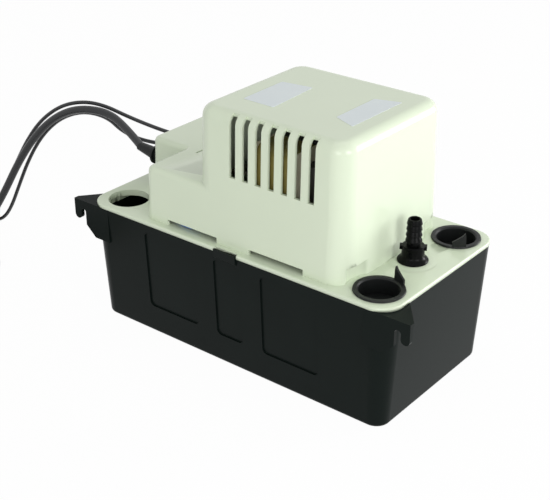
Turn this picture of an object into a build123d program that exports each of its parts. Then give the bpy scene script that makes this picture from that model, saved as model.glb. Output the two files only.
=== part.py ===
"""Condensate pump: a black tank under an ivory deck that carries the motor, pump, float switch and cords.

Millimetres. +X runs along the tank to the discharge end, -Y is the long side with the hanging ears, +Z is up.
The origin is the middle of the tank's underside.
"""
from build123d import *
from math import asin, atan, atan2, cos, degrees, hypot, pi, radians, sin, sqrt, tan
import os

os.makedirs("parts", exist_ok=True)

# ---------------------------------------------------------------- driving dimensions
# deck, the moulded plate that closes the tank
deck_length = 279.4
deck_width = 143.0
deck_corner = 16.5
deck_thick = 2.9
deck_round = 1.2
skirt_wall = 1.8
skirt_depth = 6.0

# tank
tank_height = 95.4
tank_wall = 2.6
tank_floor = 3.0
foot_taper_end = 5.4
foot_taper_side = 4.55
foot_corner = 11.0
foot_round = 3.0
rim_setback = 0.4
panel_depth = 1.2
panel_low = 24.0
panel_drop = 6.9
panel_corner = 4.0
side_panel_width = 50.0
side_panel_x = 56.0
middle_panel_width = 25.0
latch_width = 20.0
latch_reach = 2.0
latch_under = 0.4
latch_drop = 6.4
ear_reach = 16.3
ear_thick = 3.2
ear_prong = 7.0
ear_prong_drop = 16.4
ear_gap = 5.0
ear_gap_drop = 6.9
ear_gusset_drop = 28.4
ear_gusset_knee_drop = 19.9
ear_gusset_slant = 9.5
ear_root_inset = 4.0
ear_web = 2.5
ear_web_back = 23.0

# inlets
inlet_bore = 32.0
inlet_from_end = 22.7
inlet_from_side = 22.0
inlet_collar_wall = 1.8
inlet_collar_depth = 11.0
plug_barrel = 31.4
plug_wall = 1.5
plug_flange = 36.4
plug_flange_thick = 1.6
plug_depth = 12.0
plug_tab_height = 6.5
plug_tab_thick = 1.8

# hood over the motor and the switches
hood_wall = 2.2
hood_draft = 1.6
tower_left = -36.0
tower_right = 98.5
tower_front = -65.0
tower_back = 59.5
roof_gap = 3.3
tower_corner = 16.5
tower_round = 8.7
step_front_left = -84.5
step_back_left = -121.0
step_notch = -20.0
step_gap = 2.9739
step_corner = 7.0
step_overlap = 45.0
step_round = 4.0
slot_count = 7
slot_pitch = 11.35
slot_width = 4.2
slot_rise = 56.4
slot_roof_cut = 4.0
slot_reach = 4.6
slot_middle = 36.35
foot_notch_high = 3.4
foot_notch_length = 48.0
foot_notch_x = (-37.3, 40.5)
relief_radius = 23.5
relief_height = 12.0
hood_boss = 9.0
key_slit_length = 8.0
key_slit_width = 1.4

# motor
motor_x = 36.0
motor_y = -3.0
stack_rise = 47.7
stack_height = 25.4
stack_half_width = 34.0
stack_back = 29.0
stack_front = 46.0
limb_width = 10.0
window_width = 40.0
window_depth = 11.0
bore_radius = 18.3
air_gap = 0.4
bolt_x = 28.0
bolt_back = 20.0
bolt_front = 41.0
bolt_size = 4.0
coil_length = 36.0
coil_build = 8.5
bobbin_wall = 1.0
bracket_plate = 4.0
bracket_rise = 6.0
hub_radius = 8.5
bearing_radius = 5.5
bearing_length = 9.0
shaft_radius = 3.0
shaft_end = 1.5
shaft_foot = 1.6
hub_sink = 2.0
fan_radius = 24.0
fan_height = 7.0
fan_blades = 7
slinger_radius = 9.0

# pump
volute_radius = 24.0
volute_low = 8.0
volute_high = 22.0
volute_wall = 2.5
impeller_radius = 16.5
impeller_vanes = 6
intake_radius = 6.0
column_radius = 14.0
column_wall = 2.4
column_flange = 23.0
column_flange_thick = 3.0
discharge_tube_size = 12.7
discharge_tube_bore = 9.5
outlet_offset = 14.0
outlet_level = 15.0
discharge_bend = 15.0

# discharge fitting
discharge_x = 111.6
discharge_y = 0.0
pad_radius = 17.0
pad_height = 0.6
barb_root = 4.5
barb_ridge = 5.45
barb_step = 0.12
skirt_radius = 11.2
nut_radius = 7.5
lug_reach = 1.3
lug_width = 5.0
barb_bore = 3.2
barb_count = 4
barb_pitch = 4.3
barb_rise = 32.7
ball_radius = 4.0
ball_chamber = 5.4
fitting_stub = 8.2

# float and switches
rod_x = -84.0
switch_y = 18.0
rod_radius = 1.5
float_travel = 18.0
float_length = 60.0
float_width = 56.0
float_height = 26.0
float_low = 14.0
lever_length = 52.0
lever_thick = 3.0
lever_slack = 0.45
clip_radius = 3.2
clip_thick = 1.4
rod_end = 1.0
rod_foot = 2.0
pivot_rise = 22.2
pivot_radius = 1.5
switch_length = 27.8
switch_width = 10.3
switch_height = 15.9
switch_drop = 4.0
plunger_radius = 1.2
plunger_offset = 6.0
bracket_sheet = 1.2

# cords
mains_size = 6.5
lead_size = 3.2
mains_coil_x = -293.0
mains_coil_y = -112.0
mains_turn = 36.0
mains_rows = 3
lead_coil_x = -340.0
lead_coil_y = -40.0
lead_turn = 16.0
lead_rows = 4
coil_layers = 2
inner_lead_size = 2.2
mains_exit_y = -11.0
cord_exit_rise = 22.7
lead_exits_y = (12.0, 30.0)
gland_hole = 5.6
lead_hole = 3.2

# clearances
seat_gap = 0.1
skirt_gap = 0.5
slide_gap = 0.3
bore_gap = 0.05
fit_gap = 0.3
bracket_gap = 0.4
screw_gap = 0.05

# ---------------------------------------------------------------- derived places
deck_top = tank_height + deck_thick
panel_high = tank_height - panel_drop
latch_low = tank_height - latch_drop
ear_tip = deck_length / 2 + ear_reach
ear_prong_low = tank_height - ear_prong_drop
ear_gap_high = tank_height - ear_gap_drop
ear_gusset_low = tank_height - ear_gusset_drop
ear_gusset_knee = tank_height - ear_gusset_knee_drop
inlet_x = deck_length / 2 - inlet_from_end
inlet_y = deck_width / 2 - inlet_from_side
slot_low = deck_top + slot_rise
stack_low = deck_top + stack_rise
stack_high = stack_low + stack_height
barb_top = deck_top + barb_rise
pivot_level = deck_top + pivot_rise
cord_exit_level = deck_top + cord_exit_rise
shaft_low = volute_low + shaft_foot
hub_outer_z = stack_high + bracket_rise + bearing_length - hub_sink
fan_low = hub_outer_z + 2 * bracket_gap
shaft_top = fan_low + fan_height + shaft_end
tower_top = shaft_top + roof_gap + hood_wall
pivot_x = rod_x + lever_length
swing = atan(float_travel / 2 / lever_length)
arm_rest = pivot_level - float_travel / 2
arm_clear = lever_thick / 2 / cos(swing) + clip_radius * tan(swing) + lever_slack
rod_low = float_low - clip_thick - rod_foot
rod_top = arm_rest + arm_clear + clip_thick + rod_end
step_top = rod_top + float_travel + step_gap + hood_wall
rim_length = deck_length - 2 * rim_setback
rim_width = deck_width - 2 * rim_setback
rim_corner = deck_corner - rim_setback
foot_length = rim_length - 2 * foot_taper_end
foot_width = rim_width - 2 * foot_taper_side
wall_draft = atan2((rim_width - foot_width) / 2, tank_height)
end_draft = atan2((rim_length - foot_length) / 2, tank_height)
inlets = [(inlet_x, -inlet_y), (inlet_x, inlet_y), (-inlet_x, -inlet_y)]
plugged = inlets[:2]
latch_notch = latch_width + 2 * slide_gap


def wall_plane(side):
    """The outer face of a long wall: side -1 is the front one, +1 the back one."""
    return Plane(
        origin=(0, side * foot_width / 2, 0),
        x_dir=(-side, 0, 0),
        z_dir=(0, side * cos(wall_draft), -sin(wall_draft)),
    )


# ---------------------------------------------------------------- tank
# One deep moulding: drafted walls on a flat foot, shallow panels sunk in the long walls.
with BuildPart() as tank:
    with BuildSketch(Plane.XY):
        RectangleRounded(foot_length, foot_width, foot_corner)
    with BuildSketch(Plane.XY.offset(tank_height)):
        RectangleRounded(rim_length, rim_width, rim_corner)
    loft()
    fillet(tank.faces().sort_by(Axis.Z)[0].edges(), foot_round)
    inner_low_length = foot_length + 2 * tank_floor * tan(end_draft) - 2 * tank_wall
    inner_low_width = foot_width + 2 * tank_floor * tan(wall_draft) - 2 * tank_wall
    with BuildSketch(Plane.XY.offset(tank_floor)):
        RectangleRounded(inner_low_length, inner_low_width, foot_corner - tank_wall)
    with BuildSketch(Plane.XY.offset(tank_height)):
        RectangleRounded(rim_length - 2 * tank_wall, rim_width - 2 * tank_wall, rim_corner - tank_wall)
    loft(mode=Mode.SUBTRACT)
    for side in (-1, 1):
        with BuildSketch(wall_plane(side)):
            with Locations((-side_panel_x, (panel_low + panel_high) / 2), (side_panel_x, (panel_low + panel_high) / 2)):
                RectangleRounded(side_panel_width, panel_high - panel_low, panel_corner)
            with Locations((0, (panel_low + panel_high) / 2)):
                RectangleRounded(middle_panel_width, panel_high - panel_low, panel_corner)
        extrude(amount=-panel_depth, mode=Mode.SUBTRACT)
    # latch tabs, one in the middle of each long wall, that hook into the deck's notches
    latch_y = rim_width / 2
    for side in (-1, 1):
        with BuildSketch(Plane.YZ.offset(-latch_width / 2)):
            with BuildLine():
                Polyline(
                    (side * (latch_y - 1.0), latch_low),
                    (side * (latch_y + latch_reach - 0.8), latch_low + 2.2),
                    (side * (latch_y + latch_reach), deck_top - latch_under),
                    (side * (latch_y + latch_reach - 1.6), deck_top - latch_under),
                    (side * (latch_y - 1.0), tank_height),
                    close=True,
                )
            make_face()
        extrude(amount=latch_width)
    # hanging ears in the plane of the front wall, each with a web along the rim
    for end in (-1, 1):
        gap_in = ear_tip - ear_prong - ear_gap
        ear_root = rim_length / 2 - rim_corner - ear_root_inset
        with BuildSketch(Plane.XZ.offset(rim_width / 2 - ear_thick)):
            with BuildLine():
                Polyline(
                    (end * ear_root, tank_height),
                    (end * ear_tip, tank_height),
                    (end * ear_tip, ear_prong_low + ear_prong / 2),
                )
                ThreePointArc(
                    (end * ear_tip, ear_prong_low + ear_prong / 2),
                    (end * (ear_tip - ear_prong / 2), ear_prong_low),
                    (end * (ear_tip - ear_prong), ear_prong_low + ear_prong / 2),
                )
                Line(
                    (end * (ear_tip - ear_prong), ear_prong_low + ear_prong / 2),
                    (end * (ear_tip - ear_prong), ear_gap_high - ear_gap / 2),
                )
                ThreePointArc(
                    (end * (ear_tip - ear_prong), ear_gap_high - ear_gap / 2),
                    (end * (ear_tip - ear_prong - ear_gap / 2), ear_gap_high),
                    (end * gap_in, ear_gap_high - ear_gap / 2),
                )
                Polyline(
                    (end * gap_in, ear_gap_high - ear_gap / 2),
                    (end * gap_in, ear_gusset_knee),
                    (end * (gap_in - ear_gusset_slant), ear_gusset_low),
                    (end * ear_root, ear_gusset_low),
                    (end * ear_root, tank_height),
                )
            make_face()
        extrude(amount=ear_thick)
        with BuildSketch(Plane.XY.offset(tank_height - ear_web)):
            with BuildLine():
                Polyline(
                    (end * ear_root, -rim_width / 2),
                    (end * ear_tip, -rim_width / 2),
                    (end * ear_tip, -rim_width / 2 + ear_thick + 1),
                    (end * (rim_length / 2 - 1), -rim_width / 2 + ear_web_back + ear_thick),
                    (end * (rim_length / 2 - tank_wall), -rim_width / 2 + ear_web_back + ear_thick),
                    (end * (rim_length / 2 - tank_wall), -rim_width / 2 + rim_corner),
                    (end * ear_root, -rim_width / 2 + tank_wall - 0.5),
                    close=True,
                )
            make_face()
        extrude(amount=ear_web)
    # the webs must not reach into the hollow behind the rounded corners
    with BuildSketch(Plane.XY.offset(tank_height - ear_web - 1)):
        RectangleRounded(rim_length - 2 * tank_wall, rim_width - 2 * tank_wall, rim_corner - tank_wall)
    extrude(amount=ear_web + 1, mode=Mode.SUBTRACT)
tank.part.label = "tank"
export_step(tank.part, "parts/tank.step")


# ---------------------------------------------------------------- deck
# The plate lies on the tank's rim; a skirt under it finds the inside of the walls.
motor_bolts_at = [
    (motor_x - bolt_x, motor_y + bolt_back),
    (motor_x + bolt_x, motor_y + bolt_back),
    (motor_x - bolt_x, motor_y - bolt_front),
    (motor_x + bolt_x, motor_y - bolt_front),
]
boss_reach = hood_boss / 2 + hood_wall - 1.0
hood_bosses_at = [
    (tower_right - boss_reach, tower_front + tower_corner + 8),
    (tower_right - boss_reach, tower_back - tower_corner - 8),
    (step_front_left + boss_reach, tower_front + 14),
    (step_back_left + boss_reach, tower_back - 14),
]
column_screws_at = [
    (motor_x + (column_flange - 4.5) * cos(radians(a)), motor_y + (column_flange - 4.5) * sin(radians(a)))
    for a in (90, 210, 330)
]
bracket_length = switch_length + 8.0
bracket_left = rod_x + lever_length - 4.0
bracket_half = switch_width + slide_gap
bracket_screws_at = [
    (bracket_left + bracket_length / 2, switch_y - bracket_half - bracket_sheet - 5.5),
    (bracket_left + bracket_length / 2, switch_y + bracket_half + bracket_sheet + 5.5),
]
guide_bore = rod_radius + bore_gap
screw_size = 3.5
with BuildPart() as tank_cover:
    with BuildSketch(Plane.XY.offset(tank_height)):
        RectangleRounded(deck_length, deck_width, deck_corner)
    extrude(amount=deck_thick)
    fillet(tank_cover.faces().sort_by(Axis.Z)[-1].edges(), deck_round)
    skirt_length = rim_length - 2 * tank_wall - 2 * skirt_depth * tan(end_draft) - 2 * skirt_gap
    skirt_width = rim_width - 2 * tank_wall - 2 * skirt_depth * tan(wall_draft) - 2 * skirt_gap
    skirt_corner = rim_corner - tank_wall - skirt_gap
    with BuildSketch(Plane.XY.offset(tank_height)):
        RectangleRounded(skirt_length, skirt_width, skirt_corner)
        offset(amount=-skirt_wall, kind=Kind.INTERSECTION, mode=Mode.SUBTRACT)
    extrude(amount=-skirt_depth)
    with BuildSketch(Plane.XY.offset(deck_top)):
        with Locations((discharge_x, discharge_y)):
            Circle(pad_radius)
        with Locations((tower_right - pad_radius, discharge_y)):
            Rectangle(2 * (pad_radius + slide_gap), 2 * pad_radius, mode=Mode.SUBTRACT)
    extrude(amount=pad_height)
    with BuildSketch(Plane.XY.offset(deck_top)):
        with Locations((motor_x, motor_y)):
            Circle(slinger_radius - 0.5)
    extrude(amount=2.0)
    with BuildSketch(Plane.XY.offset(tank_height)):
        with Locations(*inlets):
            Circle(inlet_bore / 2 + inlet_collar_wall)
    extrude(amount=-inlet_collar_depth)
    with Locations(*[(x, y, deck_top) for x, y in inlets]):
        Hole(inlet_bore / 2, depth=deck_thick + inlet_collar_depth)
    with Locations((motor_x, motor_y, deck_top + 2.0)):
        Hole(shaft_radius + 2.5)
    with Locations((discharge_x, discharge_y, deck_top + pad_height)):
        Hole(fitting_stub + seat_gap)
    with Locations((rod_x, switch_y, deck_top)):
        Hole(5.0 + seat_gap)
    with Locations(*[(x, y, deck_top) for x, y in motor_bolts_at]):
        Hole(bolt_size / 2 + screw_gap)
    with Locations(*[(x, y, deck_top) for x, y in column_screws_at]):
        Hole(screw_size / 2 + screw_gap)
    with Locations(*[(x, y, deck_top) for x, y in hood_bosses_at]):
        Hole(screw_size / 2 + 0.3)
    with Locations(*[(x, y, deck_top) for x, y in bracket_screws_at]):
        Hole(screw_size / 2 + screw_gap)
    for side in (-1, 1):
        with BuildSketch(Plane.XY.offset(tank_height)):
            with Locations((0, side * (rim_width / 2 + 0.5))):
                Rectangle(latch_notch, 4.6)
        extrude(amount=deck_thick, mode=Mode.SUBTRACT)
tank_cover.part.label = "tank_cover"
export_step(tank_cover.part, "parts/tank_cover.step")

# ---------------------------------------------------------------- inlet plugs
# Soft cups pushed into the inlets that aren't in use, each with a pointed tab to pull it by.
for name, (plug_x, plug_y), tab_angle in (
    ("inlet_plug_front", plugged[0], 55.0),
    ("inlet_plug_back", plugged[1], 250.0),
):
    with BuildPart() as inlet_plug:
        barrel = plug_barrel / 2
        with BuildSketch(Plane.XZ):
            with BuildLine():
                Polyline(
                    (0, -plug_depth),
                    (barrel - 1.0, -plug_depth),
                    (barrel, -plug_depth + 2.0),
                    (barrel, seat_gap),
                    (plug_flange / 2 - 0.3, seat_gap),
                    (plug_flange / 2, seat_gap + 0.4),
                    (plug_flange / 2 - 0.4, seat_gap + plug_flange_thick),
                    (barrel - 0.5, seat_gap + plug_flange_thick),
                    (barrel - plug_wall, plug_flange_thick - 1.0),
                    (barrel - plug_wall, -plug_depth + plug_wall),
                    (0, -plug_depth + plug_wall),
                    close=True,
                )
            make_face()
        revolve(axis=Axis.Z)
        tab_middle = barrel + 0.55
        with BuildSketch(Plane.XZ.offset(plug_tab_thick / 2)):
            with BuildLine():
                Polyline(
                    (tab_middle - 2.2, seat_gap + plug_flange_thick - 0.4),
                    (tab_middle + 1.6, seat_gap + plug_flange_thick - 0.4),
                    (tab_middle + 1.2, plug_tab_height - 2.4),
                    (tab_middle - 0.2, plug_tab_height),
                    (tab_middle - 1.2, plug_tab_height - 2.0),
                    close=True,
                )
            make_face()
        extrude(amount=-plug_tab_thick)
    inlet_plug.part = inlet_plug.part.rotate(Axis.Z, tab_angle).moved(Location((plug_x, plug_y, deck_top)))
    inlet_plug.part.label = name
    export_step(inlet_plug.part, f"parts/{name}.step")

# ---------------------------------------------------------------- hood
# One moulding: a tall drafted tower over the motor and a low L-shaped step over the switches.
tower_height = tower_top - deck_top
step_height = step_top - deck_top
tower_centre = ((tower_left + tower_right) / 2, (tower_front + tower_back) / 2)
tower_size = (tower_right - tower_left, tower_back - tower_front)


def step_outline(inset):
    """The L-shaped plan of the low part, drawn that far inside its outer face; its right end lies in the tower."""
    right = tower_left + step_overlap
    return [
        (step_front_left + inset, tower_front + inset),
        (right, tower_front + inset),
        (right, tower_back - inset),
        (step_back_left + inset, tower_back - inset),
        (step_back_left + inset, step_notch + inset),
        (step_front_left + inset, step_notch + inset),
    ]


with BuildPart() as step_outer:
    with BuildSketch(Plane.XY.offset(deck_top)):
        with BuildLine():
            Polyline(*step_outline(0), close=True)
        make_face()
    extrude(amount=step_height, taper=hood_draft)
    uprights = step_outer.edges().filter_by(lambda e: abs(e.tangent_at(0.5).Z) > 0.9)
    fillet(uprights.filter_by(lambda e: e.center().X < tower_left), step_corner)
    rim = step_outer.faces().sort_by(Axis.Z)[-1].edges()
    fillet(rim.filter_by(lambda e: e.center().X < tower_left + step_overlap - step_corner), step_round)
with BuildPart() as step_inner:
    with BuildSketch(Plane.XY.offset(deck_top - 1)):
        with BuildLine():
            Polyline(*step_outline(hood_wall), close=True)
        make_face()
    extrude(amount=step_height + 1 - hood_wall, taper=hood_draft)
    uprights = step_inner.edges().filter_by(lambda e: abs(e.tangent_at(0.5).Z) > 0.9)
    fillet(uprights.filter_by(lambda e: e.center().X < tower_left), step_corner - hood_wall)
with BuildPart() as tower_inner:
    with BuildSketch(Plane.XY.offset(deck_top - 1)):
        with Locations(tower_centre):
            RectangleRounded(
                tower_size[0] - 2 * hood_wall, tower_size[1] - 2 * hood_wall, tower_corner - hood_wall
            )
    extrude(amount=tower_height + 1 - hood_wall, taper=hood_draft)
    fillet(tower_inner.faces().sort_by(Axis.Z)[-1].edges(), tower_round - hood_wall)
with BuildPart() as motor_cover:
    with BuildSketch(Plane.XY.offset(deck_top)):
        with Locations(tower_centre):
            RectangleRounded(tower_size[0], tower_size[1], tower_corner)
    extrude(amount=tower_height, taper=hood_draft)
    fillet(motor_cover.faces().sort_by(Axis.Z)[-1].edges(), tower_round)
    add(step_outer.part)
    add(tower_inner.part, mode=Mode.SUBTRACT)
    add(step_inner.part, mode=Mode.SUBTRACT)
    # cooling slots in the front and back walls, run up through the rounded top edge
    slot_shift = (tower_top - slot_low) * tan(radians(hood_draft))
    for wall_y, side in ((tower_front, -1), (tower_back, 1)):
        with BuildSketch(Plane.XY.offset(slot_low)):
            with Locations((slot_middle, wall_y - side * (slot_shift + slot_reach) / 2)):
                with GridLocations(slot_pitch, 1, slot_count, 1):
                    Rectangle(slot_width, slot_shift + slot_reach + slot_roof_cut)
        extrude(amount=tower_top - slot_low + 1, mode=Mode.SUBTRACT)
    # low notches in the foot of the front wall
    with BuildSketch(Plane.XY.offset(deck_top)):
        with Locations(*[(x, tower_front + 2) for x in foot_notch_x]):
            Rectangle(foot_notch_length, 6)
    extrude(amount=foot_notch_high, mode=Mode.SUBTRACT)
    # bosses for the screws that come up through the deck
    with BuildSketch(Plane.XY.offset(deck_top)):
        with Locations(*hood_bosses_at):
            Circle(hood_boss / 2)
    extrude(amount=22)
    # hollow reliefs round the two right-hand inlets, with their own wall behind
    with BuildSketch(Plane.XY.offset(deck_top)):
        with Locations(*plugged):
            Circle(relief_radius + hood_wall)
        with Locations(tower_centre):
            RectangleRounded(
                tower_size[0] - hood_wall, tower_size[1] - hood_wall, tower_corner - hood_wall / 2,
                mode=Mode.INTERSECT,
            )
    extrude(amount=relief_height + hood_wall)
    with BuildSketch(Plane.XY.offset(deck_top)):
        with Locations(*plugged):
            Circle(relief_radius)
    extrude(amount=relief_height, mode=Mode.SUBTRACT)
    # a short slit in the low roof, and the two cord holes in its end wall
    with Locations((step_front_left + 14.5, step_notch + 2, step_top)):
        Box(key_slit_width, key_slit_length, 4 * hood_wall, mode=Mode.SUBTRACT)
    with BuildSketch(Plane.YZ.offset(step_back_left - 1)):
        with Locations((mains_exit_y, cord_exit_level)):
            Circle(gland_hole)
        with Locations(*[(y, cord_exit_level) for y in lead_exits_y]):
            Circle(lead_hole)
    extrude(amount=6, mode=Mode.SUBTRACT)
    with Locations(*[Location((x, y, deck_top), (180, 0, 0)) for x, y in hood_bosses_at]):
        Hole(screw_size / 2 + screw_gap, depth=18)
motor_cover.part.label = "motor_cover"
export_step(motor_cover.part, "parts/motor_cover.step")


# ---------------------------------------------------------------- fasteners of the covers
def pan_screws(places, under_head, points, length, size, head=1.9, head_height=2.2):
    """Pan-head screws with the underside of their heads at under_head, pointing up (+1) or down (-1)."""
    with BuildPart() as group:
        with BuildSketch(Plane.XY.offset(under_head)):
            with Locations(*places):
                Circle(size / 2 * head)
        extrude(amount=-points * head_height)
        with BuildSketch(Plane.XY.offset(under_head)):
            with Locations(*places):
                Circle(size / 2)
        extrude(amount=points * length)
    return group.part


with BuildPart() as cover_screws:
    add(pan_screws(hood_bosses_at, tank_height, 1, 18.0, screw_size))
cover_screws.part.label = "cover_screws"
export_step(cover_screws.part, "parts/cover_screws.step")

# ---------------------------------------------------------------- motor
# A shaded-pole motor with an upright shaft. The stamped core has its coil on the front limb.
rotor_radius = bore_radius - air_gap
with BuildPart() as stator_core:
    with BuildSketch(Plane.XY.offset(stack_low)):
        with Locations((motor_x, motor_y + (stack_back - stack_front) / 2)):
            RectangleRounded(2 * stack_half_width, stack_back + stack_front, 5.0)
        with Locations((motor_x, motor_y)):
            Circle(bore_radius, mode=Mode.SUBTRACT)
        with Locations((motor_x, motor_y - stack_front + limb_width + window_depth / 2)):
            Rectangle(window_width, window_depth, mode=Mode.SUBTRACT)
        with Locations(*motor_bolts_at):
            Circle(bolt_size / 2 + screw_gap, mode=Mode.SUBTRACT)
        with Locations((motor_x - bore_radius - 1.5, motor_y + 6), (motor_x + bore_radius + 1.5, motor_y - 6)):
            Circle(2.0, mode=Mode.SUBTRACT)
    extrude(amount=stack_height)
stator_core.part.label = "stator_core"
export_step(stator_core.part, "parts/stator_core.step")

limb_y = motor_y - stack_front + limb_width / 2
limb_z = stack_low + stack_height / 2
bobbin_inner = (limb_width + 2 * slide_gap, stack_height + 2 * slide_gap)
bobbin_outer = (bobbin_inner[0] + 2 * bobbin_wall, bobbin_inner[1] + 2 * bobbin_wall)
winding_outer = (bobbin_outer[0] + 2 * coil_build, bobbin_outer[1] + 2 * coil_build)
with BuildPart() as coil_bobbin:
    with BuildSketch(Plane.YZ.offset(motor_x - coil_length / 2)):
        with Locations((limb_y, limb_z)):
            Rectangle(*bobbin_outer)
            Rectangle(*bobbin_inner, mode=Mode.SUBTRACT)
    extrude(amount=coil_length)
    for flange_x in (motor_x - coil_length / 2, motor_x + coil_length / 2 - bobbin_wall):
        with BuildSketch(Plane.YZ.offset(flange_x)):
            with Locations((limb_y, limb_z)):
                RectangleRounded(winding_outer[0] + 1.0, winding_outer[1] + 2.0, 3.0)
                Rectangle(*bobbin_inner, mode=Mode.SUBTRACT)
        extrude(amount=bobbin_wall)
coil_bobbin.part.label = "coil_bobbin"
export_step(coil_bobbin.part, "parts/coil_bobbin.step")

with BuildPart() as stator_coil:
    with BuildSketch(Plane.YZ.offset(motor_x - coil_length / 2 + bobbin_wall)):
        with Locations((limb_y, limb_z)):
            RectangleRounded(*winding_outer, coil_build - 1)
            Rectangle(*bobbin_outer, mode=Mode.SUBTRACT)
    extrude(amount=coil_length - 2 * bobbin_wall)
stator_coil.part.label = "stator_coil"
export_step(stator_coil.part, "parts/stator_coil.step")

# copper rings bent round one edge of each pole
with BuildPart() as shading_rings:
    for turn in (0, 180):
        for ring_z in (stack_low - 1.6, stack_high):
            with BuildSketch(Plane.XY.offset(ring_z)):
                with Locations(Location((motor_x, motor_y, 0), turn + 20)):
                    with Locations((bore_radius + 3.4, 0)):
                        RectangleRounded(4.4, 13.0, 1.5)
            extrude(amount=1.6)
shading_rings.part.label = "shading_rings"
export_step(shading_rings.part, "parts/shading_rings.step")

# die-cast brackets, one over and one under the core, each a web from two bolts to a bearing hub
for name, bearing_name, face, away in (
    ("upper_bearing_bracket", "upper_bearing", stack_high, 1),
    ("lower_bearing_bracket", "lower_bearing", stack_low, -1),
):
    plate_z = face + away * bracket_rise
    with BuildPart() as bearing_bracket:
        with BuildSketch(Plane.XY.offset(plate_z)):
            with Locations(*motor_bolts_at[:2]):
                Circle(7.0)
            with Locations((motor_x, motor_y)):
                Circle(hub_radius + 1.5)
            make_hull()
        extrude(amount=away * bracket_plate)
        with BuildSketch(Plane.XY.offset(face)):
            with Locations(*motor_bolts_at[:2]):
                Circle(5.0)
        extrude(amount=away * bracket_rise)
        with BuildSketch(Plane.XY.offset(plate_z)):
            with Locations((motor_x, motor_y)):
                Circle(hub_radius)
        extrude(amount=away * (bearing_length - 2))
        with BuildSketch(Plane.XY.offset(plate_z - away * 2)):
            with Locations((motor_x, motor_y)):
                Circle(hub_radius)
        extrude(amount=away * 2)
        with BuildSketch(Plane.XY.offset(face - away)):
            with Locations((motor_x, motor_y)):
                Circle(bearing_radius)
            with Locations(*motor_bolts_at[:2]):
                Circle(bolt_size / 2 + screw_gap)
        extrude(amount=away * 30, mode=Mode.SUBTRACT)
    bearing_bracket.part.label = name
    export_step(bearing_bracket.part, f"parts/{name}.step")
    with BuildPart() as bearing:
        with BuildSketch(Plane.XY.offset(plate_z - away * 2)):
            with Locations((motor_x, motor_y)):
                Circle(bearing_radius)
                Circle(shaft_radius + bore_gap, mode=Mode.SUBTRACT)
        extrude(amount=away * bearing_length)
    bearing.part.label = bearing_name
    export_step(bearing.part, f"parts/{bearing_name}.step")

standoff_tops = [stack_low - bracket_rise - bracket_plate] * 2 + [stack_low] * 2
with BuildPart() as motor_standoffs:
    for (x, y), top in zip(motor_bolts_at, standoff_tops):
        with BuildSketch(Plane.XY.offset(deck_top)):
            with Locations((x, y)):
                Circle(4.5)
                Circle(bolt_size / 2 + screw_gap, mode=Mode.SUBTRACT)
        extrude(amount=top - deck_top)
motor_standoffs.part.label = "motor_standoffs"
export_step(motor_standoffs.part, "parts/motor_standoffs.step")

bolt_tops = [stack_high + bracket_rise + bracket_plate] * 2 + [stack_high] * 2
nut_height = 3.2
with BuildPart() as motor_bolts:
    for (x, y), top in zip(motor_bolts_at, bolt_tops):
        with BuildSketch(Plane.XY.offset(top)):
            with Locations((x, y)):
                RegularPolygon(bolt_size * 0.95, 6)
        extrude(amount=2.6)
        with BuildSketch(Plane.XY.offset(tank_height - nut_height - 1.5)):
            with Locations((x, y)):
                Circle(bolt_size / 2)
        extrude(amount=top - tank_height + nut_height + 1.5)
motor_bolts.part.label = "motor_bolts"
export_step(motor_bolts.part, "parts/motor_bolts.step")

with BuildPart() as motor_nuts:
    with BuildSketch(Plane.XY.offset(tank_height - nut_height)):
        with Locations(*motor_bolts_at):
            RegularPolygon(bolt_size * 0.95, 6)
        with Locations(*motor_bolts_at):
            Circle(bolt_size / 2 + screw_gap, mode=Mode.SUBTRACT)
    extrude(amount=nut_height)
motor_nuts.part.label = "motor_nuts"
export_step(motor_nuts.part, "parts/motor_nuts.step")

# ---------------------------------------------------------------- turning parts
with BuildPart() as motor_shaft:
    with BuildSketch(Plane.XY.offset(shaft_low)):
        with Locations((motor_x, motor_y)):
            Circle(shaft_radius)
    extrude(amount=shaft_top - shaft_low)
    chamfer(motor_shaft.edges().filter_by(GeomType.CIRCLE), 0.4)
motor_shaft.part.label = "motor_shaft"
export_step(motor_shaft.part, "parts/motor_shaft.step")

end_ring = 3.0
with BuildPart() as rotor_core:
    with BuildSketch(Plane.XY.offset(stack_low)):
        with Locations((motor_x, motor_y)):
            Circle(rotor_radius)
    extrude(amount=stack_height)
    with BuildSketch(Plane.XY.offset(stack_low - end_ring)):
        with Locations((motor_x, motor_y)):
            Circle(rotor_radius - 1.2)
            Circle(rotor_radius - 6.0, mode=Mode.SUBTRACT)
    extrude(amount=stack_height + 2 * end_ring)
    with BuildSketch(Plane.XY.offset(stack_low - 1)):
        with Locations((motor_x, motor_y)):
            Circle(shaft_radius)
    extrude(amount=stack_height + 2, mode=Mode.SUBTRACT)
rotor_core.part.label = "rotor_core"
export_step(rotor_core.part, "parts/rotor_core.step")

with BuildPart() as cooling_fan:
    with BuildSketch(Plane.XY.offset(fan_low)):
        with Locations((motor_x, motor_y)):
            Circle(fan_radius * 0.42)
    extrude(amount=1.4)
    with BuildSketch(Plane.XY.offset(fan_low)):
        with Locations((motor_x, motor_y)):
            Circle(6.5)
    extrude(amount=fan_height)
    for blade in range(fan_blades):
        angle = 360 / fan_blades * blade
        root = Plane((motor_x, motor_y, fan_low + fan_height / 2), z_dir=(cos(radians(angle)), sin(radians(angle)), 0))
        with BuildSketch(root.offset(5.5)):
            Rectangle(1.2, fan_height - 1.0, rotation=35)
        with BuildSketch(root.offset(fan_radius)):
            Rectangle(1.0, fan_height + 2.0, rotation=50)
        loft()
    with BuildSketch(Plane.XY.offset(fan_low - 1)):
        with Locations((motor_x, motor_y)):
            Circle(shaft_radius)
    extrude(amount=fan_height + 2, mode=Mode.SUBTRACT)
cooling_fan.part.label = "cooling_fan"
export_step(cooling_fan.part, "parts/cooling_fan.step")

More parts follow.
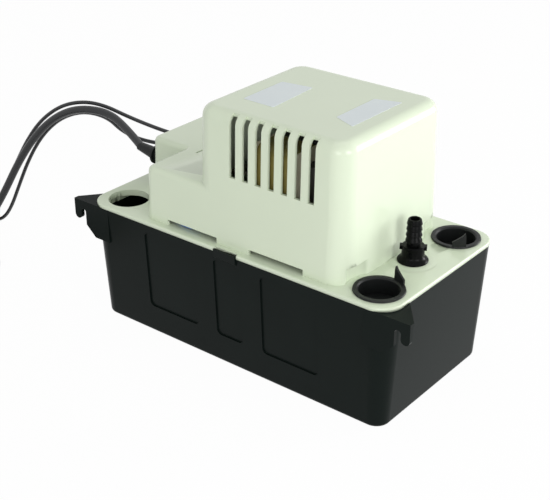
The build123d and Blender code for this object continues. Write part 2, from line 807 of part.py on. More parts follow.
# ---------------------------------------------------------------- pump
with BuildPart() as water_slinger:
    slinger_low = deck_top + 2.0 + 1.0
    with BuildSketch(Plane.XY.offset(slinger_low)):
        with Locations((motor_x, motor_y)):
            Circle(slinger_radius)
    extrude(amount=1.5)
    with BuildSketch(Plane.XY.offset(slinger_low)):
        with Locations((motor_x, motor_y)):
            Circle(shaft_radius + 2.0)
    extrude(amount=5.0)
    with BuildSketch(Plane.XY.offset(slinger_low)):
        with Locations((motor_x, motor_y)):
            Circle(shaft_radius)
    extrude(amount=6.0, mode=Mode.SUBTRACT)
water_slinger.part.label = "water_slinger"
export_step(water_slinger.part, "parts/water_slinger.step")

with BuildPart() as pump_column:
    with BuildSketch(Plane.XY.offset(volute_high)):
        with Locations((motor_x, motor_y)):
            Circle(column_radius)
            Circle(column_radius - column_wall, mode=Mode.SUBTRACT)
    extrude(amount=tank_height - volute_high)
    with BuildSketch(Plane.XY.offset(tank_height)):
        with Locations((motor_x, motor_y)):
            Circle(column_flange)
            Circle(column_radius - column_wall, mode=Mode.SUBTRACT)
        with Locations(*column_screws_at):
            Circle(screw_size / 2 + screw_gap, mode=Mode.SUBTRACT)
    extrude(amount=-column_flange_thick)
    window_low = volute_high + 16
    window_high = tank_height - 18
    with BuildSketch(Plane.XZ.offset(-motor_y)):
        with Locations((motor_x, (window_low + window_high) / 2)):
            SlotOverall(window_high - window_low, column_radius * 0.8, rotation=90)
    extrude(amount=2 * column_radius, both=True, mode=Mode.SUBTRACT)
    with BuildSketch(Plane.YZ.offset(motor_x)):
        with Locations((motor_y, (window_low + window_high) / 2)):
            SlotOverall(window_high - window_low, column_radius * 0.8, rotation=90)
    extrude(amount=2 * column_radius, both=True, mode=Mode.SUBTRACT)
pump_column.part.label = "pump_column"
export_step(pump_column.part, "parts/pump_column.step")

with BuildPart() as column_screws:
    add(pan_screws(column_screws_at, deck_top, -1, deck_thick + column_flange_thick + 2.0, screw_size))
column_screws.part.label = "column_screws"
export_step(column_screws.part, "parts/column_screws.step")

# The outlet leaves the volute on a tangent that passes under the discharge fitting.
to_fitting = hypot(discharge_x - motor_x, discharge_y - motor_y)
outlet_angle = atan2(discharge_y - motor_y, discharge_x - motor_x) - asin(outlet_offset / to_fitting)
outlet_dir = Vector(cos(outlet_angle), sin(outlet_angle), 0)
outlet_root = Vector(
    motor_x - outlet_offset * sin(outlet_angle), motor_y + outlet_offset * cos(outlet_angle), outlet_level
)
outlet_plane = Plane(origin=outlet_root, x_dir=(0, 0, 1), z_dir=outlet_dir)
outlet_length = 32.0
outlet_socket = 12.0
tube_radius = discharge_tube_size / 2
socket_radius = tube_radius + seat_gap
lug_radius = 4.0
volute_screws_at = [
    (motor_x + (volute_radius + 1.5) * cos(radians(a)), motor_y + (volute_radius + 1.5) * sin(radians(a)))
    for a in (110, 190, 290)
]
with BuildPart() as volute:
    with BuildSketch(Plane.XY.offset(volute_low)):
        with Locations((motor_x, motor_y)):
            Circle(volute_radius)
        with Locations(*volute_screws_at):
            Circle(lug_radius)
    extrude(amount=volute_high - volute_low)
    with BuildSketch(outlet_plane):
        Circle(socket_radius + volute_wall - 0.6)
    extrude(amount=outlet_length)
    with BuildSketch(Plane.XY.offset(volute_low)):
        with Locations((motor_x, motor_y)):
            Rectangle(4 * volute_radius, 4 * volute_radius)
    extrude(amount=-10, mode=Mode.SUBTRACT)
    with BuildSketch(Plane.XY.offset(volute_high)):
        with Locations((motor_x, motor_y)):
            Circle(column_radius + seat_gap)
    extrude(amount=10, mode=Mode.SUBTRACT)
    with BuildSketch(Plane.XY.offset(volute_low)):
        with Locations((motor_x, motor_y)):
            Circle(volute_radius - volute_wall)
    extrude(amount=volute_high - volute_low - volute_wall, mode=Mode.SUBTRACT)
    with BuildSketch(outlet_plane):
        Circle(discharge_tube_bore / 2)
    extrude(amount=outlet_length, mode=Mode.SUBTRACT)
    with BuildSketch(outlet_plane.offset(outlet_length - outlet_socket)):
        Circle(socket_radius)
    extrude(amount=outlet_socket, mode=Mode.SUBTRACT)
    with BuildSketch(Plane.XY.offset(volute_low)):
        with Locations((motor_x, motor_y)):
            Circle(shaft_radius + 1.2)
    extrude(amount=volute_high, mode=Mode.SUBTRACT)
    with BuildSketch(Plane.XY.offset(volute_low)):
        with Locations(*volute_screws_at):
            Circle(1.5 + screw_gap)
    extrude(amount=10, mode=Mode.SUBTRACT)
volute.part.label = "volute"
export_step(volute.part, "parts/volute.step")

plate_thick = 2.0
with BuildPart() as intake_plate:
    with BuildSketch(Plane.XY.offset(volute_low)):
        with Locations((motor_x, motor_y)):
            Circle(volute_radius)
            Circle(intake_radius, mode=Mode.SUBTRACT)
        with Locations(*volute_screws_at):
            Circle(lug_radius)
        with Locations(*volute_screws_at):
            Circle(1.5 + screw_gap, mode=Mode.SUBTRACT)
    extrude(amount=-plate_thick)
    with BuildSketch(Plane.XY.offset(volute_low - plate_thick)):
        with Locations((motor_x, motor_y)):
            with PolarLocations(volute_radius - 5, 6, start_angle=20):
                RectangleRounded(7.0, 2.4, 1.1)
    extrude(amount=-(volute_low - plate_thick - tank_floor - fit_gap))
intake_plate.part.label = "intake_plate"
export_step(intake_plate.part, "parts/intake_plate.step")

with BuildPart() as volute_screws:
    add(pan_screws(volute_screws_at, volute_low - plate_thick, 1, 9.0, 3.0, head_height=1.8))
volute_screws.part.label = "volute_screws"
export_step(volute_screws.part, "parts/volute_screws.step")

with BuildPart() as impeller:
    with BuildSketch(Plane.XY.offset(volute_low + 7.5)):
        with Locations((motor_x, motor_y)):
            Circle(impeller_radius)
    extrude(amount=1.6)
    with BuildSketch(Plane.XY.offset(volute_low + 1.0)):
        with Locations((motor_x, motor_y)):
            Circle(shaft_radius + 2.2)
            with PolarLocations(0, impeller_vanes):
                with Locations((impeller_radius * 0.62, 2.6)):
                    Rectangle(impeller_radius * 0.62, 1.6, rotation=28)
    extrude(amount=6.5)
    with BuildSketch(Plane.XY.offset(shaft_low)):
        with Locations((motor_x, motor_y)):
            Circle(shaft_radius)
    extrude(amount=12, mode=Mode.SUBTRACT)
impeller.part.label = "impeller"
export_step(impeller.part, "parts/impeller.step")

stub_low = deck_top - 13.0
seat_low = deck_top - 2.0
seat_high = deck_top + 0.5
with BuildPart() as discharge_tube:
    with BuildLine():
        start = outlet_root + outlet_dir * (outlet_length - outlet_socket + seat_gap)
        FilletPolyline(
            (start.X, start.Y, start.Z),
            (discharge_x, discharge_y, outlet_level),
            (discharge_x, discharge_y, seat_low - seat_gap),
            radius=discharge_bend,
        )
    with BuildSketch(Plane(origin=start, x_dir=(0, 0, 1), z_dir=outlet_dir)):
        Circle(tube_radius)
        Circle(discharge_tube_bore / 2, mode=Mode.SUBTRACT)
    sweep()
discharge_tube.part.label = "discharge_tube"
export_step(discharge_tube.part, "parts/discharge_tube.step")

# ---------------------------------------------------------------- discharge fitting
flange_low = deck_top + pad_height
collar_low = deck_top + 9.6
collar_high = deck_top + 12.8
chamber_high = deck_top + 9.8
barb_low = barb_top - barb_count * barb_pitch
with BuildPart() as check_valve:
    with BuildSketch(Plane.XZ.offset(-discharge_y)):
        with BuildLine():
            Polyline(
                (discharge_x + socket_radius, seat_high),
                (discharge_x + socket_radius, stub_low),
                (discharge_x + fitting_stub, stub_low),
                (discharge_x + fitting_stub, flange_low),
                (discharge_x + skirt_radius - 0.2, flange_low),
                (discharge_x + skirt_radius, flange_low + 0.8),
                (discharge_x + skirt_radius - 0.6, flange_low + 1.7),
            )
            Spline(
                (discharge_x + skirt_radius - 0.6, flange_low + 1.7),
                (discharge_x + nut_radius + 1.1, flange_low + 4.6),
                (discharge_x + nut_radius, collar_low - 1.0),
            )
            barbs = [(discharge_x + nut_radius, collar_low - 1.0), (discharge_x + nut_radius, collar_high - 0.5),
                     (discharge_x + nut_radius - 0.5, collar_high), (discharge_x + barb_root, collar_high)]
            for tooth in range(barb_count):
                foot = barb_low + tooth * barb_pitch
                ridge = barb_ridge - barb_step * tooth
                barbs += [(discharge_x + barb_root - 0.1, foot), (discharge_x + ridge, foot + 0.5),
                          (discharge_x + ridge, foot + 1.1)]
            barbs += [(discharge_x + barb_root - 0.2, barb_top), (discharge_x + barb_bore, barb_top),
                      (discharge_x + barb_bore, chamber_high), (discharge_x + ball_chamber, chamber_high - 1.2),
                      (discharge_x + ball_chamber, seat_high), (discharge_x + socket_radius, seat_high)]
            Polyline(*barbs)
        make_face()
    revolve(axis=Axis((discharge_x, discharge_y, 0), (0, 0, 1)))
    with BuildSketch(Plane.XY.offset(collar_low)):
        with Locations((discharge_x, discharge_y)):
            Rectangle(2 * (nut_radius + lug_reach), lug_width, rotation=20)
            Circle(ball_chamber + 1.0, mode=Mode.SUBTRACT)
    extrude(amount=collar_high - collar_low - 0.4)
check_valve.part.label = "check_valve"
export_step(check_valve.part, "parts/check_valve.step")

with BuildPart() as valve_seat:
    with BuildSketch(Plane.XY.offset(seat_low)):
        with Locations((discharge_x, discharge_y)):
            Circle(tube_radius)
            Circle(barb_bore, mode=Mode.SUBTRACT)
    extrude(amount=seat_high - seat_low)
valve_seat.part.label = "valve_seat"
export_step(valve_seat.part, "parts/valve_seat.step")

ball_level = seat_high + sqrt(ball_radius**2 - barb_bore**2) + fit_gap
with BuildPart() as check_ball:
    with Locations((discharge_x, discharge_y, ball_level)):
        Sphere(ball_radius)
check_ball.part.label = "check_ball"
export_step(check_ball.part, "parts/check_ball.step")

# ---------------------------------------------------------------- float
with BuildPart() as float_block:
    with BuildSketch(Plane.XY.offset(float_low)):
        with Locations((rod_x, switch_y)):
            RectangleRounded(float_length, float_width, 9.0)
    extrude(amount=float_height)
    fillet(float_block.faces().filter_by(Axis.Z).edges(), 3.0)
    with Locations((rod_x, switch_y, float_low + float_height)):
        Hole(rod_radius)
float_block.part.label = "float_block"
export_step(float_block.part, "parts/float_block.step")

with BuildPart() as float_rod:
    with BuildSketch(Plane.XY.offset(rod_low)):
        with Locations((rod_x, switch_y)):
            Circle(rod_radius)
    extrude(amount=rod_top - rod_low)
float_rod.part.label = "float_rod"
export_step(float_rod.part, "parts/float_rod.step")

with BuildPart() as float_clips:
    for clip_low in (
        float_low - clip_thick,
        float_low + float_height,
        arm_rest - arm_clear - clip_thick,
        arm_rest + arm_clear,
    ):
        with BuildSketch(Plane.XY.offset(clip_low)):
            with Locations((rod_x, switch_y)):
                Circle(clip_radius)
                Circle(rod_radius, mode=Mode.SUBTRACT)
        extrude(amount=clip_thick)
float_clips.part.label = "float_clips"
export_step(float_clips.part, "parts/float_clips.step")

with BuildPart() as float_guide:
    with BuildSketch(Plane.XY.offset(deck_top)):
        with Locations((rod_x, switch_y)):
            Circle(7.5)
    extrude(amount=1.5)
    with BuildSketch(Plane.XY.offset(deck_top)):
        with Locations((rod_x, switch_y)):
            Circle(5.0)
    extrude(amount=-deck_thick - 9.0)
    with BuildSketch(Plane.XY.offset(deck_top - 20)):
        with Locations((rod_x, switch_y)):
            Circle(guide_bore)
    extrude(amount=30, mode=Mode.SUBTRACT)
float_guide.part.label = "float_guide"
export_step(float_guide.part, "parts/float_guide.step")

# ---------------------------------------------------------------- switches and their rocking lever
switch_left = pivot_x + 3.0
switch_high = pivot_level - switch_drop
switch_low = switch_high - switch_height
under_lever = lever_thick / 2 / cos(swing) + plunger_radius * tan(swing) + fit_gap
main_tip = pivot_level + plunger_offset * tan(swing) - under_lever
safety_tip = pivot_level - plunger_offset * tan(swing) - under_lever
plunger_foot = switch_high - 3.0
switch_holes = [(switch_left + 3.6, switch_low + 3.4), (switch_left + switch_length - 3.0, switch_low + 3.4)]
switch_bolt = 2.9
switch_rows = {
    "main": switch_y - switch_width / 2 - seat_gap,
    "safety": switch_y + switch_width / 2 + seat_gap,
}
with BuildPart() as switch_bracket:
    with BuildSketch(Plane.XY.offset(deck_top)):
        with Locations((bracket_left + bracket_length / 2, switch_y)):
            Rectangle(bracket_length, 2 * (bracket_half + bracket_sheet))
        with Locations(*bracket_screws_at):
            RectangleRounded(14.0, 13.0, 3.0)
        with Locations(*bracket_screws_at):
            Circle(screw_size / 2 + screw_gap, mode=Mode.SUBTRACT)
    extrude(amount=bracket_sheet)
    for ear in (-1, 1):
        ear_y = switch_y + ear * bracket_half
        with BuildSketch(Plane.XZ.offset(-ear_y)):
            with BuildLine():
                Polyline(
                    (bracket_left, deck_top),
                    (bracket_left, pivot_level + 3.5),
                    (bracket_left + 7.5, pivot_level + 3.5),
                    (bracket_left + bracket_length, switch_low + 9.0),
                    (bracket_left + bracket_length, deck_top),
                    close=True,
                )
            make_face()
            with Locations((pivot_x, pivot_level)):
                Circle(pivot_radius + screw_gap, mode=Mode.SUBTRACT)
            with Locations(*switch_holes):
                Circle(switch_bolt / 2 + screw_gap, mode=Mode.SUBTRACT)
        extrude(amount=-ear * bracket_sheet)
switch_bracket.part.label = "switch_bracket"
export_step(switch_bracket.part, "parts/switch_bracket.step")

with BuildPart() as bracket_screws:
    add(pan_screws(bracket_screws_at, deck_top + bracket_sheet, -1, deck_thick + bracket_sheet + 5.0, screw_size))
bracket_screws.part.label = "bracket_screws"
export_step(bracket_screws.part, "parts/bracket_screws.step")

for kind, row in switch_rows.items():
    with BuildPart() as switch_body:
        with BuildSketch(Plane.XZ.offset(-(row + switch_width / 2))):
            with Locations((switch_left + switch_length / 2, switch_low + switch_height / 2)):
                RectangleRounded(switch_length, switch_height, 1.2)
            with Locations(*switch_holes):
                Circle(switch_bolt / 2 + screw_gap, mode=Mode.SUBTRACT)
        extrude(amount=switch_width)
        with Locations((pivot_x + plunger_offset, row, switch_high)):
            Hole(plunger_radius + bore_gap, depth=6.0)
    switch_body.part.label = f"{kind}_switch"
    export_step(switch_body.part, f"parts/{kind}_switch.step")

for kind, tip, foot in (
    ("main", main_tip, plunger_foot),
    ("safety", safety_tip, plunger_foot),
):
    with BuildPart() as plunger:
        with BuildSketch(Plane.XY.offset(foot)):
            with Locations((pivot_x + plunger_offset, switch_rows[kind])):
                Circle(plunger_radius)
        extrude(amount=tip - foot)
        chamfer(plunger.faces().sort_by(Axis.Z)[-1].edges(), 0.3)
    plunger.part.label = f"{kind}_plunger"
    export_step(plunger.part, f"parts/{kind}_plunger.step")

with BuildPart() as switch_terminals:
    for row in switch_rows.values():
        with BuildSketch(Plane.YZ.offset(switch_left + switch_length)):
            with Locations(*[(row, switch_low + rise) for rise in (3.0, 8.0, 13.0)]):
                Rectangle(6.0, 0.8)
        extrude(amount=4.5)
switch_terminals.part.label = "switch_terminals"
export_step(switch_terminals.part, "parts/switch_terminals.step")

bolt_head_y = switch_y - bracket_half - bracket_sheet
with BuildPart() as switch_screws:
    with BuildSketch(Plane.XZ.offset(-bolt_head_y)):
        with Locations(*switch_holes):
            Circle(switch_bolt / 2 * 1.9)
    extrude(amount=1.8)
    with BuildSketch(Plane.XZ.offset(-bolt_head_y)):
        with Locations(*switch_holes):
            Circle(switch_bolt / 2)
    extrude(amount=-2 * (bracket_half + bracket_sheet) - 2.6)
    with BuildSketch(Plane.XZ.offset(-(switch_y + bracket_half + bracket_sheet))):
        with Locations(*switch_holes):
            RegularPolygon(3.0, 6)
    extrude(amount=-2.0)
switch_screws.part.label = "switch_screws"
export_step(switch_screws.part, "parts/switch_screws.step")

with BuildPart() as rocker_pin:
    with BuildSketch(Plane.XZ.offset(-(switch_y - bracket_half - bracket_sheet - 0.1))):
        with Locations((pivot_x, pivot_level)):
            Circle(pivot_radius)
    extrude(amount=-2 * (bracket_half + bracket_sheet) - 0.2 - 1.2)
    with BuildSketch(Plane.XZ.offset(-(switch_y - bracket_half - bracket_sheet - 0.1))):
        with Locations((pivot_x, pivot_level)):
            Circle(pivot_radius + 1.1)
    extrude(amount=1.2)
rocker_pin.part.label = "rocker_pin"
export_step(rocker_pin.part, "parts/rocker_pin.step")

slot_at = lever_length * (1 + 1 / cos(swing)) / 2
hub_half = bracket_half - slide_gap
with BuildPart() as rocker_lever:
    with BuildSketch(Plane.XZ.offset(-(switch_y + hub_half))):
        with Locations((pivot_x, pivot_level)):
            Circle(3.6)
    extrude(amount=2 * hub_half)
    with BuildSketch(Plane.XY.offset(pivot_level - lever_thick / 2)):
        with Locations((pivot_x + 4.75, switch_y)):
            Rectangle(9.5, 2 * hub_half)
    extrude(amount=lever_thick)
    with BuildSketch(Plane.XY.offset(pivot_level - lever_thick / 2)):
        with Locations((pivot_x - 6, switch_y)):
            Circle(hub_half - 2.5)
        with Locations((pivot_x - slot_at, switch_y)):
            Circle(6.0)
        make_hull()
    extrude(amount=lever_thick)
    with BuildSketch(Plane.XZ.offset(-(switch_y + hub_half))):
        with Locations((pivot_x, pivot_level)):
            Circle(pivot_radius + bore_gap)
    extrude(amount=2 * hub_half, mode=Mode.SUBTRACT)
    with BuildSketch(Plane.XY.offset(pivot_level - lever_thick)):
        with Locations((pivot_x - slot_at, switch_y)):
            SlotOverall(2 * (rod_radius + 1.1), 2 * (rod_radius + slide_gap))
    extrude(amount=2 * lever_thick, mode=Mode.SUBTRACT)
pivot_axis = Axis((pivot_x, switch_y, pivot_level), (0, 1, 0))
rocker_lever.part = rocker_lever.part.rotate(pivot_axis, -degrees(swing))
rocker_lever.part.label = "rocker_lever"
export_step(rocker_lever.part, "parts/rocker_lever.step")

# ---------------------------------------------------------------- cords
# Each route is laid out by hand, a point where the cord bends, from its gland down to its coil on the floor.
mains_route = [
    (-141, -10, 123), (-160, -4, 129.5), (-188, 2, 136), (-217, -4, 134.5), (-243, -9, 122.5), (-263, -17, 103),
    (-277, -27, 78), (-287, -38, 50), (-296, -50, 25), (-307, -64.5, 8.5), (-323.05, -81.95, 3.25),
]
lead_a_route = [
    (-123, 30, 121), (-150, 29, 129), (-174, 18.6, 138), (-192, 9.6, 141.5), (-213, -5.3, 141), (-236, -9, 132),
    (-262, -14, 119), (-285, -17, 98), (-306, -19, 67), (-319, -19.3, 38), (-326, -19.2, 21), (-334, -19.3, 11.2),
    (-345, -19.8, 8.2),
]
lead_b_route = [
    (-123, 12, 121), (-142, 9, 119.5), (-159.5, 2.7, 120), (-178, 1.4, 124.5), (-196, 3.4, 127.5),
    (-215.7, -1.5, 126.5), (-242, 0.7, 116), (-262, -4, 104), (-282, -9, 82), (-298, -13, 55), (-308, -15.5, 30),
    (-314, -17.4, 14), (-325, -19, 5), (-341, -19.4, 1.7),
]
blue_lead_route = [
    (17.6, -53, 139.5), (6, -54, 138), (-6, -56, 130), (-15, -58, 118), (-25, -60, 106.5), (-37, -61, 100.8),
    (-52, -60.3, 99.6), (-64, -53, 99.6), (-69, -39, 100), (-62, -25, 101), (-46, -16, 101), (-26, -13, 101),
    (-7, -12, 101.5), (6, -7, 102.4), (8, 2, 103.2), (4.5, 10.9, 103.6),
]
black_lead_route = [
    (-116.6, -11, 121), (-104, -11.6, 120), (-93, -13, 114), (-79, -15.5, 107), (-60, -18, 105.5),
    (-38, -17, 105.5), (-17, -15, 106.5), (-1, -13, 108), (7, -7, 109), (8, 2, 109), (4.5, 10.9, 108.6),
]


def bend_radii(points):
    """The largest radius that each corner of a cord's route allows."""
    vectors = [Vector(*point) for point in points]
    radii = []
    for before, corner, after in zip(vectors, vectors[1:], vectors[2:]):
        shorter = min((corner - before).length, (after - corner).length)
        turn = radians((corner - before).get_angle(after - corner))
        radii.append(0.45 * shorter / tan(turn / 2))
    return radii


def cord_tube(points, size):
    """A round cord that follows a route of straight runs joined by arcs."""
    radii = bend_radii(points)
    with BuildPart() as tube:
        with BuildLine() as route:
            FilletPolyline(*points, radius=radii)
        path = route.wire()
        with BuildSketch(Plane(origin=path @ 0, z_dir=path % 0)):
            Circle(size / 2)
        sweep()
    length = path.length
    drawn = pi * size**2 / 4 * length
    print(f"route {length:.0f} mm, volume ratio {tube.part.volume / drawn:.4f}, radii", [round(r) for r in radii])
    return tube.part


def coil_ring(centre_x, centre_y, low, turn, rows, size):
    """The outer shape of a wound cord: rows of turns side by side, in layers."""
    with BuildPart() as ring:
        with BuildSketch(Plane.XY.offset(low)):
            with Locations((centre_x, centre_y)):
                Circle(turn + rows * size / 2)
                Circle(turn - rows * size / 2, mode=Mode.SUBTRACT)
        extrude(amount=coil_layers * size)
    return ring.part


for name, points, size in (
    ("power_cord", mains_route, mains_size),
    ("alarm_lead_a", lead_a_route, lead_size),
    ("alarm_lead_b", lead_b_route, lead_size),
    ("blue_lead", blue_lead_route, inner_lead_size),
    ("black_lead", black_lead_route, inner_lead_size),
):
    with BuildPart() as cord:
        add(cord_tube(points, size))
    cord.part.label = name
    export_step(cord.part, f"parts/{name}.step")

for name, centre, low, turn, rows, size in (
    ("power_cord_coil", (mains_coil_x, mains_coil_y), 0.0, mains_turn, mains_rows, mains_size),
    ("alarm_coil_b", (lead_coil_x, lead_coil_y), 0.0, lead_turn, lead_rows, lead_size),
    ("alarm_coil_a", (lead_coil_x, lead_coil_y), coil_layers * lead_size, lead_turn, lead_rows, lead_size),
):
    with BuildPart() as coil:
        add(coil_ring(*centre, low, turn, rows, size))
    coil.part.label = name
    export_step(coil.part, f"parts/{name}.step")

# stripped ends of the alarm leads, where each one runs off its coil
stripped = 10.0
strand_radius = 1.0
with BuildPart() as lead_ends:
    for layer in (1.5, 3.5):
        with BuildSketch(Plane.XZ.offset(-lead_coil_y)):
            with Locations((lead_coil_x - lead_turn - (lead_rows - 1) * lead_size / 2, layer * lead_size)):
                Circle(strand_radius)
        extrude(amount=20.0 + stripped)
lead_ends.part.label = "lead_ends"
export_step(lead_ends.part, "parts/lead_ends.step")

# moulded plug, flat side down, with its tapered relief and two blades
plug_length = 30.0
plug_width = 25.0
plug_high = 19.5
plug_relief = 24.0
plug_level = plug_high / 2
tail_y = mains_coil_y - mains_turn - (mains_rows - 1) * mains_size / 2
tail_start = mains_coil_x + 17.0
relief_start = mains_coil_x + 32.0
tail_level = 1.5 * mains_size
with BuildPart() as power_cord_tail:
    with BuildSketch(Plane.YZ.offset(tail_start)):
        with Locations((tail_y, tail_level)):
            Circle(mains_size / 2)
    extrude(amount=relief_start - tail_start)
power_cord_tail.part.label = "power_cord_tail"
export_step(power_cord_tail.part, "parts/power_cord_tail.step")

with BuildPart() as mains_plug:
    with BuildSketch(Plane.YZ.offset(relief_start)):
        with Locations((tail_y, tail_level)):
            Circle(mains_size / 2 + 0.8)
    with BuildSketch(Plane.YZ.offset(relief_start + plug_relief)):
        with Locations((tail_y, tail_level)):
            Circle(mains_size / 2 + 2.4)
    loft()
    with BuildSketch(Plane.YZ.offset(relief_start + plug_relief)):
        with Locations((tail_y, plug_level)):
            RectangleRounded(plug_width, plug_high, 6.0)
    extrude(amount=plug_length)
    fillet(mains_plug.faces().sort_by(Axis.X)[-1].edges(), 1.5)
mains_plug.part.label = "mains_plug"
export_step(mains_plug.part, "parts/mains_plug.step")

plug_face = relief_start + plug_relief + plug_length
with BuildPart() as plug_blades:
    with BuildSketch(Plane.YZ.offset(plug_face)):
        with Locations((tail_y - 6.35, plug_level), (tail_y + 6.35, plug_level)):
            Rectangle(1.5, 6.35)
    extrude(amount=17.0)
    chamfer(plug_blades.faces().sort_by(Axis.X)[-2:].edges().filter_by(Axis.Z), 0.5)
plug_blades.part.label = "plug_blades"
export_step(plug_blades.part, "parts/plug_blades.step")

# rubber relief that snaps into the end wall of the hood, flange outside and tapered sleeve along the cord
wall_at_gland = step_back_left
relief_tip = Vector(*mains_route[0])
with BuildPart() as cord_strain_relief:
    with BuildSketch(Plane.YZ.offset(wall_at_gland - 2.4)):
        with Locations((mains_exit_y, cord_exit_level)):
            Circle(gland_hole + 1.9)
    extrude(amount=1.6)
    with BuildSketch(Plane.YZ.offset(wall_at_gland - 2.4)):
        with Locations((mains_exit_y, cord_exit_level)):
            Circle(gland_hole - 0.4)
    extrude(amount=6.4)
    tip_plane = Plane(origin=relief_tip, z_dir=Vector(*mains_route[1]) - relief_tip)
    with BuildSketch(Plane.YZ.offset(wall_at_gland - 2.4)):
        with Locations((mains_exit_y, cord_exit_level)):
            Circle(gland_hole - 0.4)
    with BuildSketch(tip_plane):
        Circle(mains_size / 2 + 0.6)
    loft()
cord_strain_relief.part.label = "cord_strain_relief"
export_step(cord_strain_relief.part, "parts/cord_strain_relief.step")
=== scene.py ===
"""Condensate pump: black tank, ivory deck and motor hood, two inlet plugs, a barbed outlet and three cords.

Metres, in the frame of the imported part: +X along the tank to the outlet end, -Y to the front, +Z up.
"""
from math import cos, pi, radians, sin

import bmesh
import bpy
from mathutils import Matrix, Vector


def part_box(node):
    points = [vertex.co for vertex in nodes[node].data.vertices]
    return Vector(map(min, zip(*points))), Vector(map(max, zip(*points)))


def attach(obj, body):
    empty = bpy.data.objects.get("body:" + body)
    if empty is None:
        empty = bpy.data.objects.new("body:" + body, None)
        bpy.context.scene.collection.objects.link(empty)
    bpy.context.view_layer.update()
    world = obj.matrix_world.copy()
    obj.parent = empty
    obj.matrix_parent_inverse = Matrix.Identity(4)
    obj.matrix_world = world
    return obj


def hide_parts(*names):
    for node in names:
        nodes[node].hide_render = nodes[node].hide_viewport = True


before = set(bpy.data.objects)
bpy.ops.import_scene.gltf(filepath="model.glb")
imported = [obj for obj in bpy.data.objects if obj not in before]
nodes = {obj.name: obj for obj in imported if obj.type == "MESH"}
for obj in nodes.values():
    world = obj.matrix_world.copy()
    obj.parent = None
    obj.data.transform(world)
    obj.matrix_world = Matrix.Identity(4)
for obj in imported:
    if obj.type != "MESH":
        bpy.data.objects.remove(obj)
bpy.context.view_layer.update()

MM = 0.001

# ---------------------------------------------------------------- camera
# A normal lens, a little above the pump and off its front right corner.
camera_place = (0.4909, -0.6296, 0.4842)
camera_target = (-0.01068, -0.00094, 0.06760)
camera_sensor = 36.0
camera_focal = 77.18

camera_data = bpy.data.cameras.new("camera")
camera_data.sensor_width = camera_sensor
camera_data.lens = camera_focal
camera = bpy.data.objects.new("camera", camera_data)
camera.location = camera_place
aim = Vector(camera_target) - Vector(camera_place)
camera.rotation_euler = aim.to_track_quat("-Z", "Y").to_euler()
bpy.context.scene.collection.objects.link(camera)
bpy.context.scene.camera = camera

# ---------------------------------------------------------------- mains lead
# A three-core lead with a black PVC jacket, extruded round. It comes out of the relief in the hood, falls to
# the floor and is put away there in a round coil, with its moulded plug beside it.
mains_size = 6.5 * MM
mains_route = (
    (-141, -10, 123), (-160, -4, 129.5), (-188, 2, 137), (-217, -4, 136), (-243, -9, 124),
    (-263, -17, 103.5), (-277, -27, 78), (-287, -38, 50), (-296, -50, 27), (-307, -64.5, 11),
)
mains_centre = (-293, -112)
mains_radii = (42.5, 36.0, 29.5)
mains_levels = (3.55, 10.05)
mains_last_radius = 49.0
mains_turns = 6.34
mains_coil_angle = 135
mains_landing = (-323.05, -81.95, 4.2)
mains_tail = ((-284, -159.6, 4.2), (-274, -156.2, 7.6), (-265, -154.6, 9.6), (-258, -154.5, 9.75))
jacket_black = "#141618"
points_per_turn = 24


def linear(colour):
    """An sRGB hex colour as the linear values that a shader takes."""
    parts = [int(colour[place:place + 2], 16) / 255 for place in (1, 3, 5)]
    curved = [part / 12.92 if part <= 0.04045 else ((part + 0.055) / 1.055) ** 2.4 for part in parts]
    return (*curved, 1.0)


def add_node(tree, kind, settings=None, links=None):
    """Adds one shader node, sets its values and links its sockets."""
    node = tree.nodes.new(kind)
    for name, value in (settings or {}).items():
        if name in node.inputs:
            node.inputs[name].default_value = value
        else:
            setattr(node, name, value)
    for name, source in (links or {}).items():
        tree.links.new(source, node.inputs[name])
    return node


def new_material(name):
    """An empty material with its output, and the piece's own coordinates in metres."""
    material = bpy.data.materials.new(name)
    material.use_nodes = True
    tree = material.node_tree
    tree.nodes.clear()
    output = add_node(tree, "ShaderNodeOutputMaterial")
    place = add_node(tree, "ShaderNodeTexCoord").outputs["Object"]
    return material, tree, output, place


def moulded(name, colour, shade, roughness, grain_mm, relief_mm, specular=0.5, patch_mm=25.0):
    """Plastic or rubber from a mould: a fine skin from the tool, and faint patches in its finish."""
    material, tree, output, place = new_material(name)
    patches = add_node(
        tree, "ShaderNodeTexNoise", {"Scale": 1 / (patch_mm * MM), "Detail": 3.0}, {"Vector": place},
    )
    grain = add_node(
        tree, "ShaderNodeTexNoise", {"Scale": 1 / (grain_mm * MM), "Detail": 2.0}, {"Vector": place},
    )
    tone = add_node(tree, "ShaderNodeMix", {"data_type": "RGBA"}, {"Factor": patches.outputs["Fac"]})
    tone.inputs["A"].default_value = linear(colour)
    tone.inputs["B"].default_value = linear(shade)
    finish = add_node(
        tree, "ShaderNodeMapRange", {"To Min": roughness * 0.88, "To Max": roughness * 1.12},
        {"Value": patches.outputs["Fac"]},
    )
    skin = add_node(
        tree, "ShaderNodeBump", {"Strength": 0.6, "Distance": relief_mm * MM},
        {"Height": grain.outputs["Fac"]},
    )
    surface = add_node(tree, "ShaderNodeBsdfPrincipled", {"Specular IOR Level": specular}, {
        "Base Color": tone.outputs["Result"], "Roughness": finish.outputs["Result"],
        "Normal": skin.outputs["Normal"],
    })
    tree.links.new(surface.outputs["BSDF"], output.inputs["Surface"])
    return material


def between(stations, turn):
    """Radius and height at a place along a winding, on straight lines between its stations."""
    for (from_turn, *low), (to_turn, *high) in zip(stations, stations[1:]):
        if turn <= to_turn:
            share = (turn - from_turn) / (to_turn - from_turn)
            return [a + (b - a) * share for a, b in zip(low, high)]
    return list(stations[-1][1:])


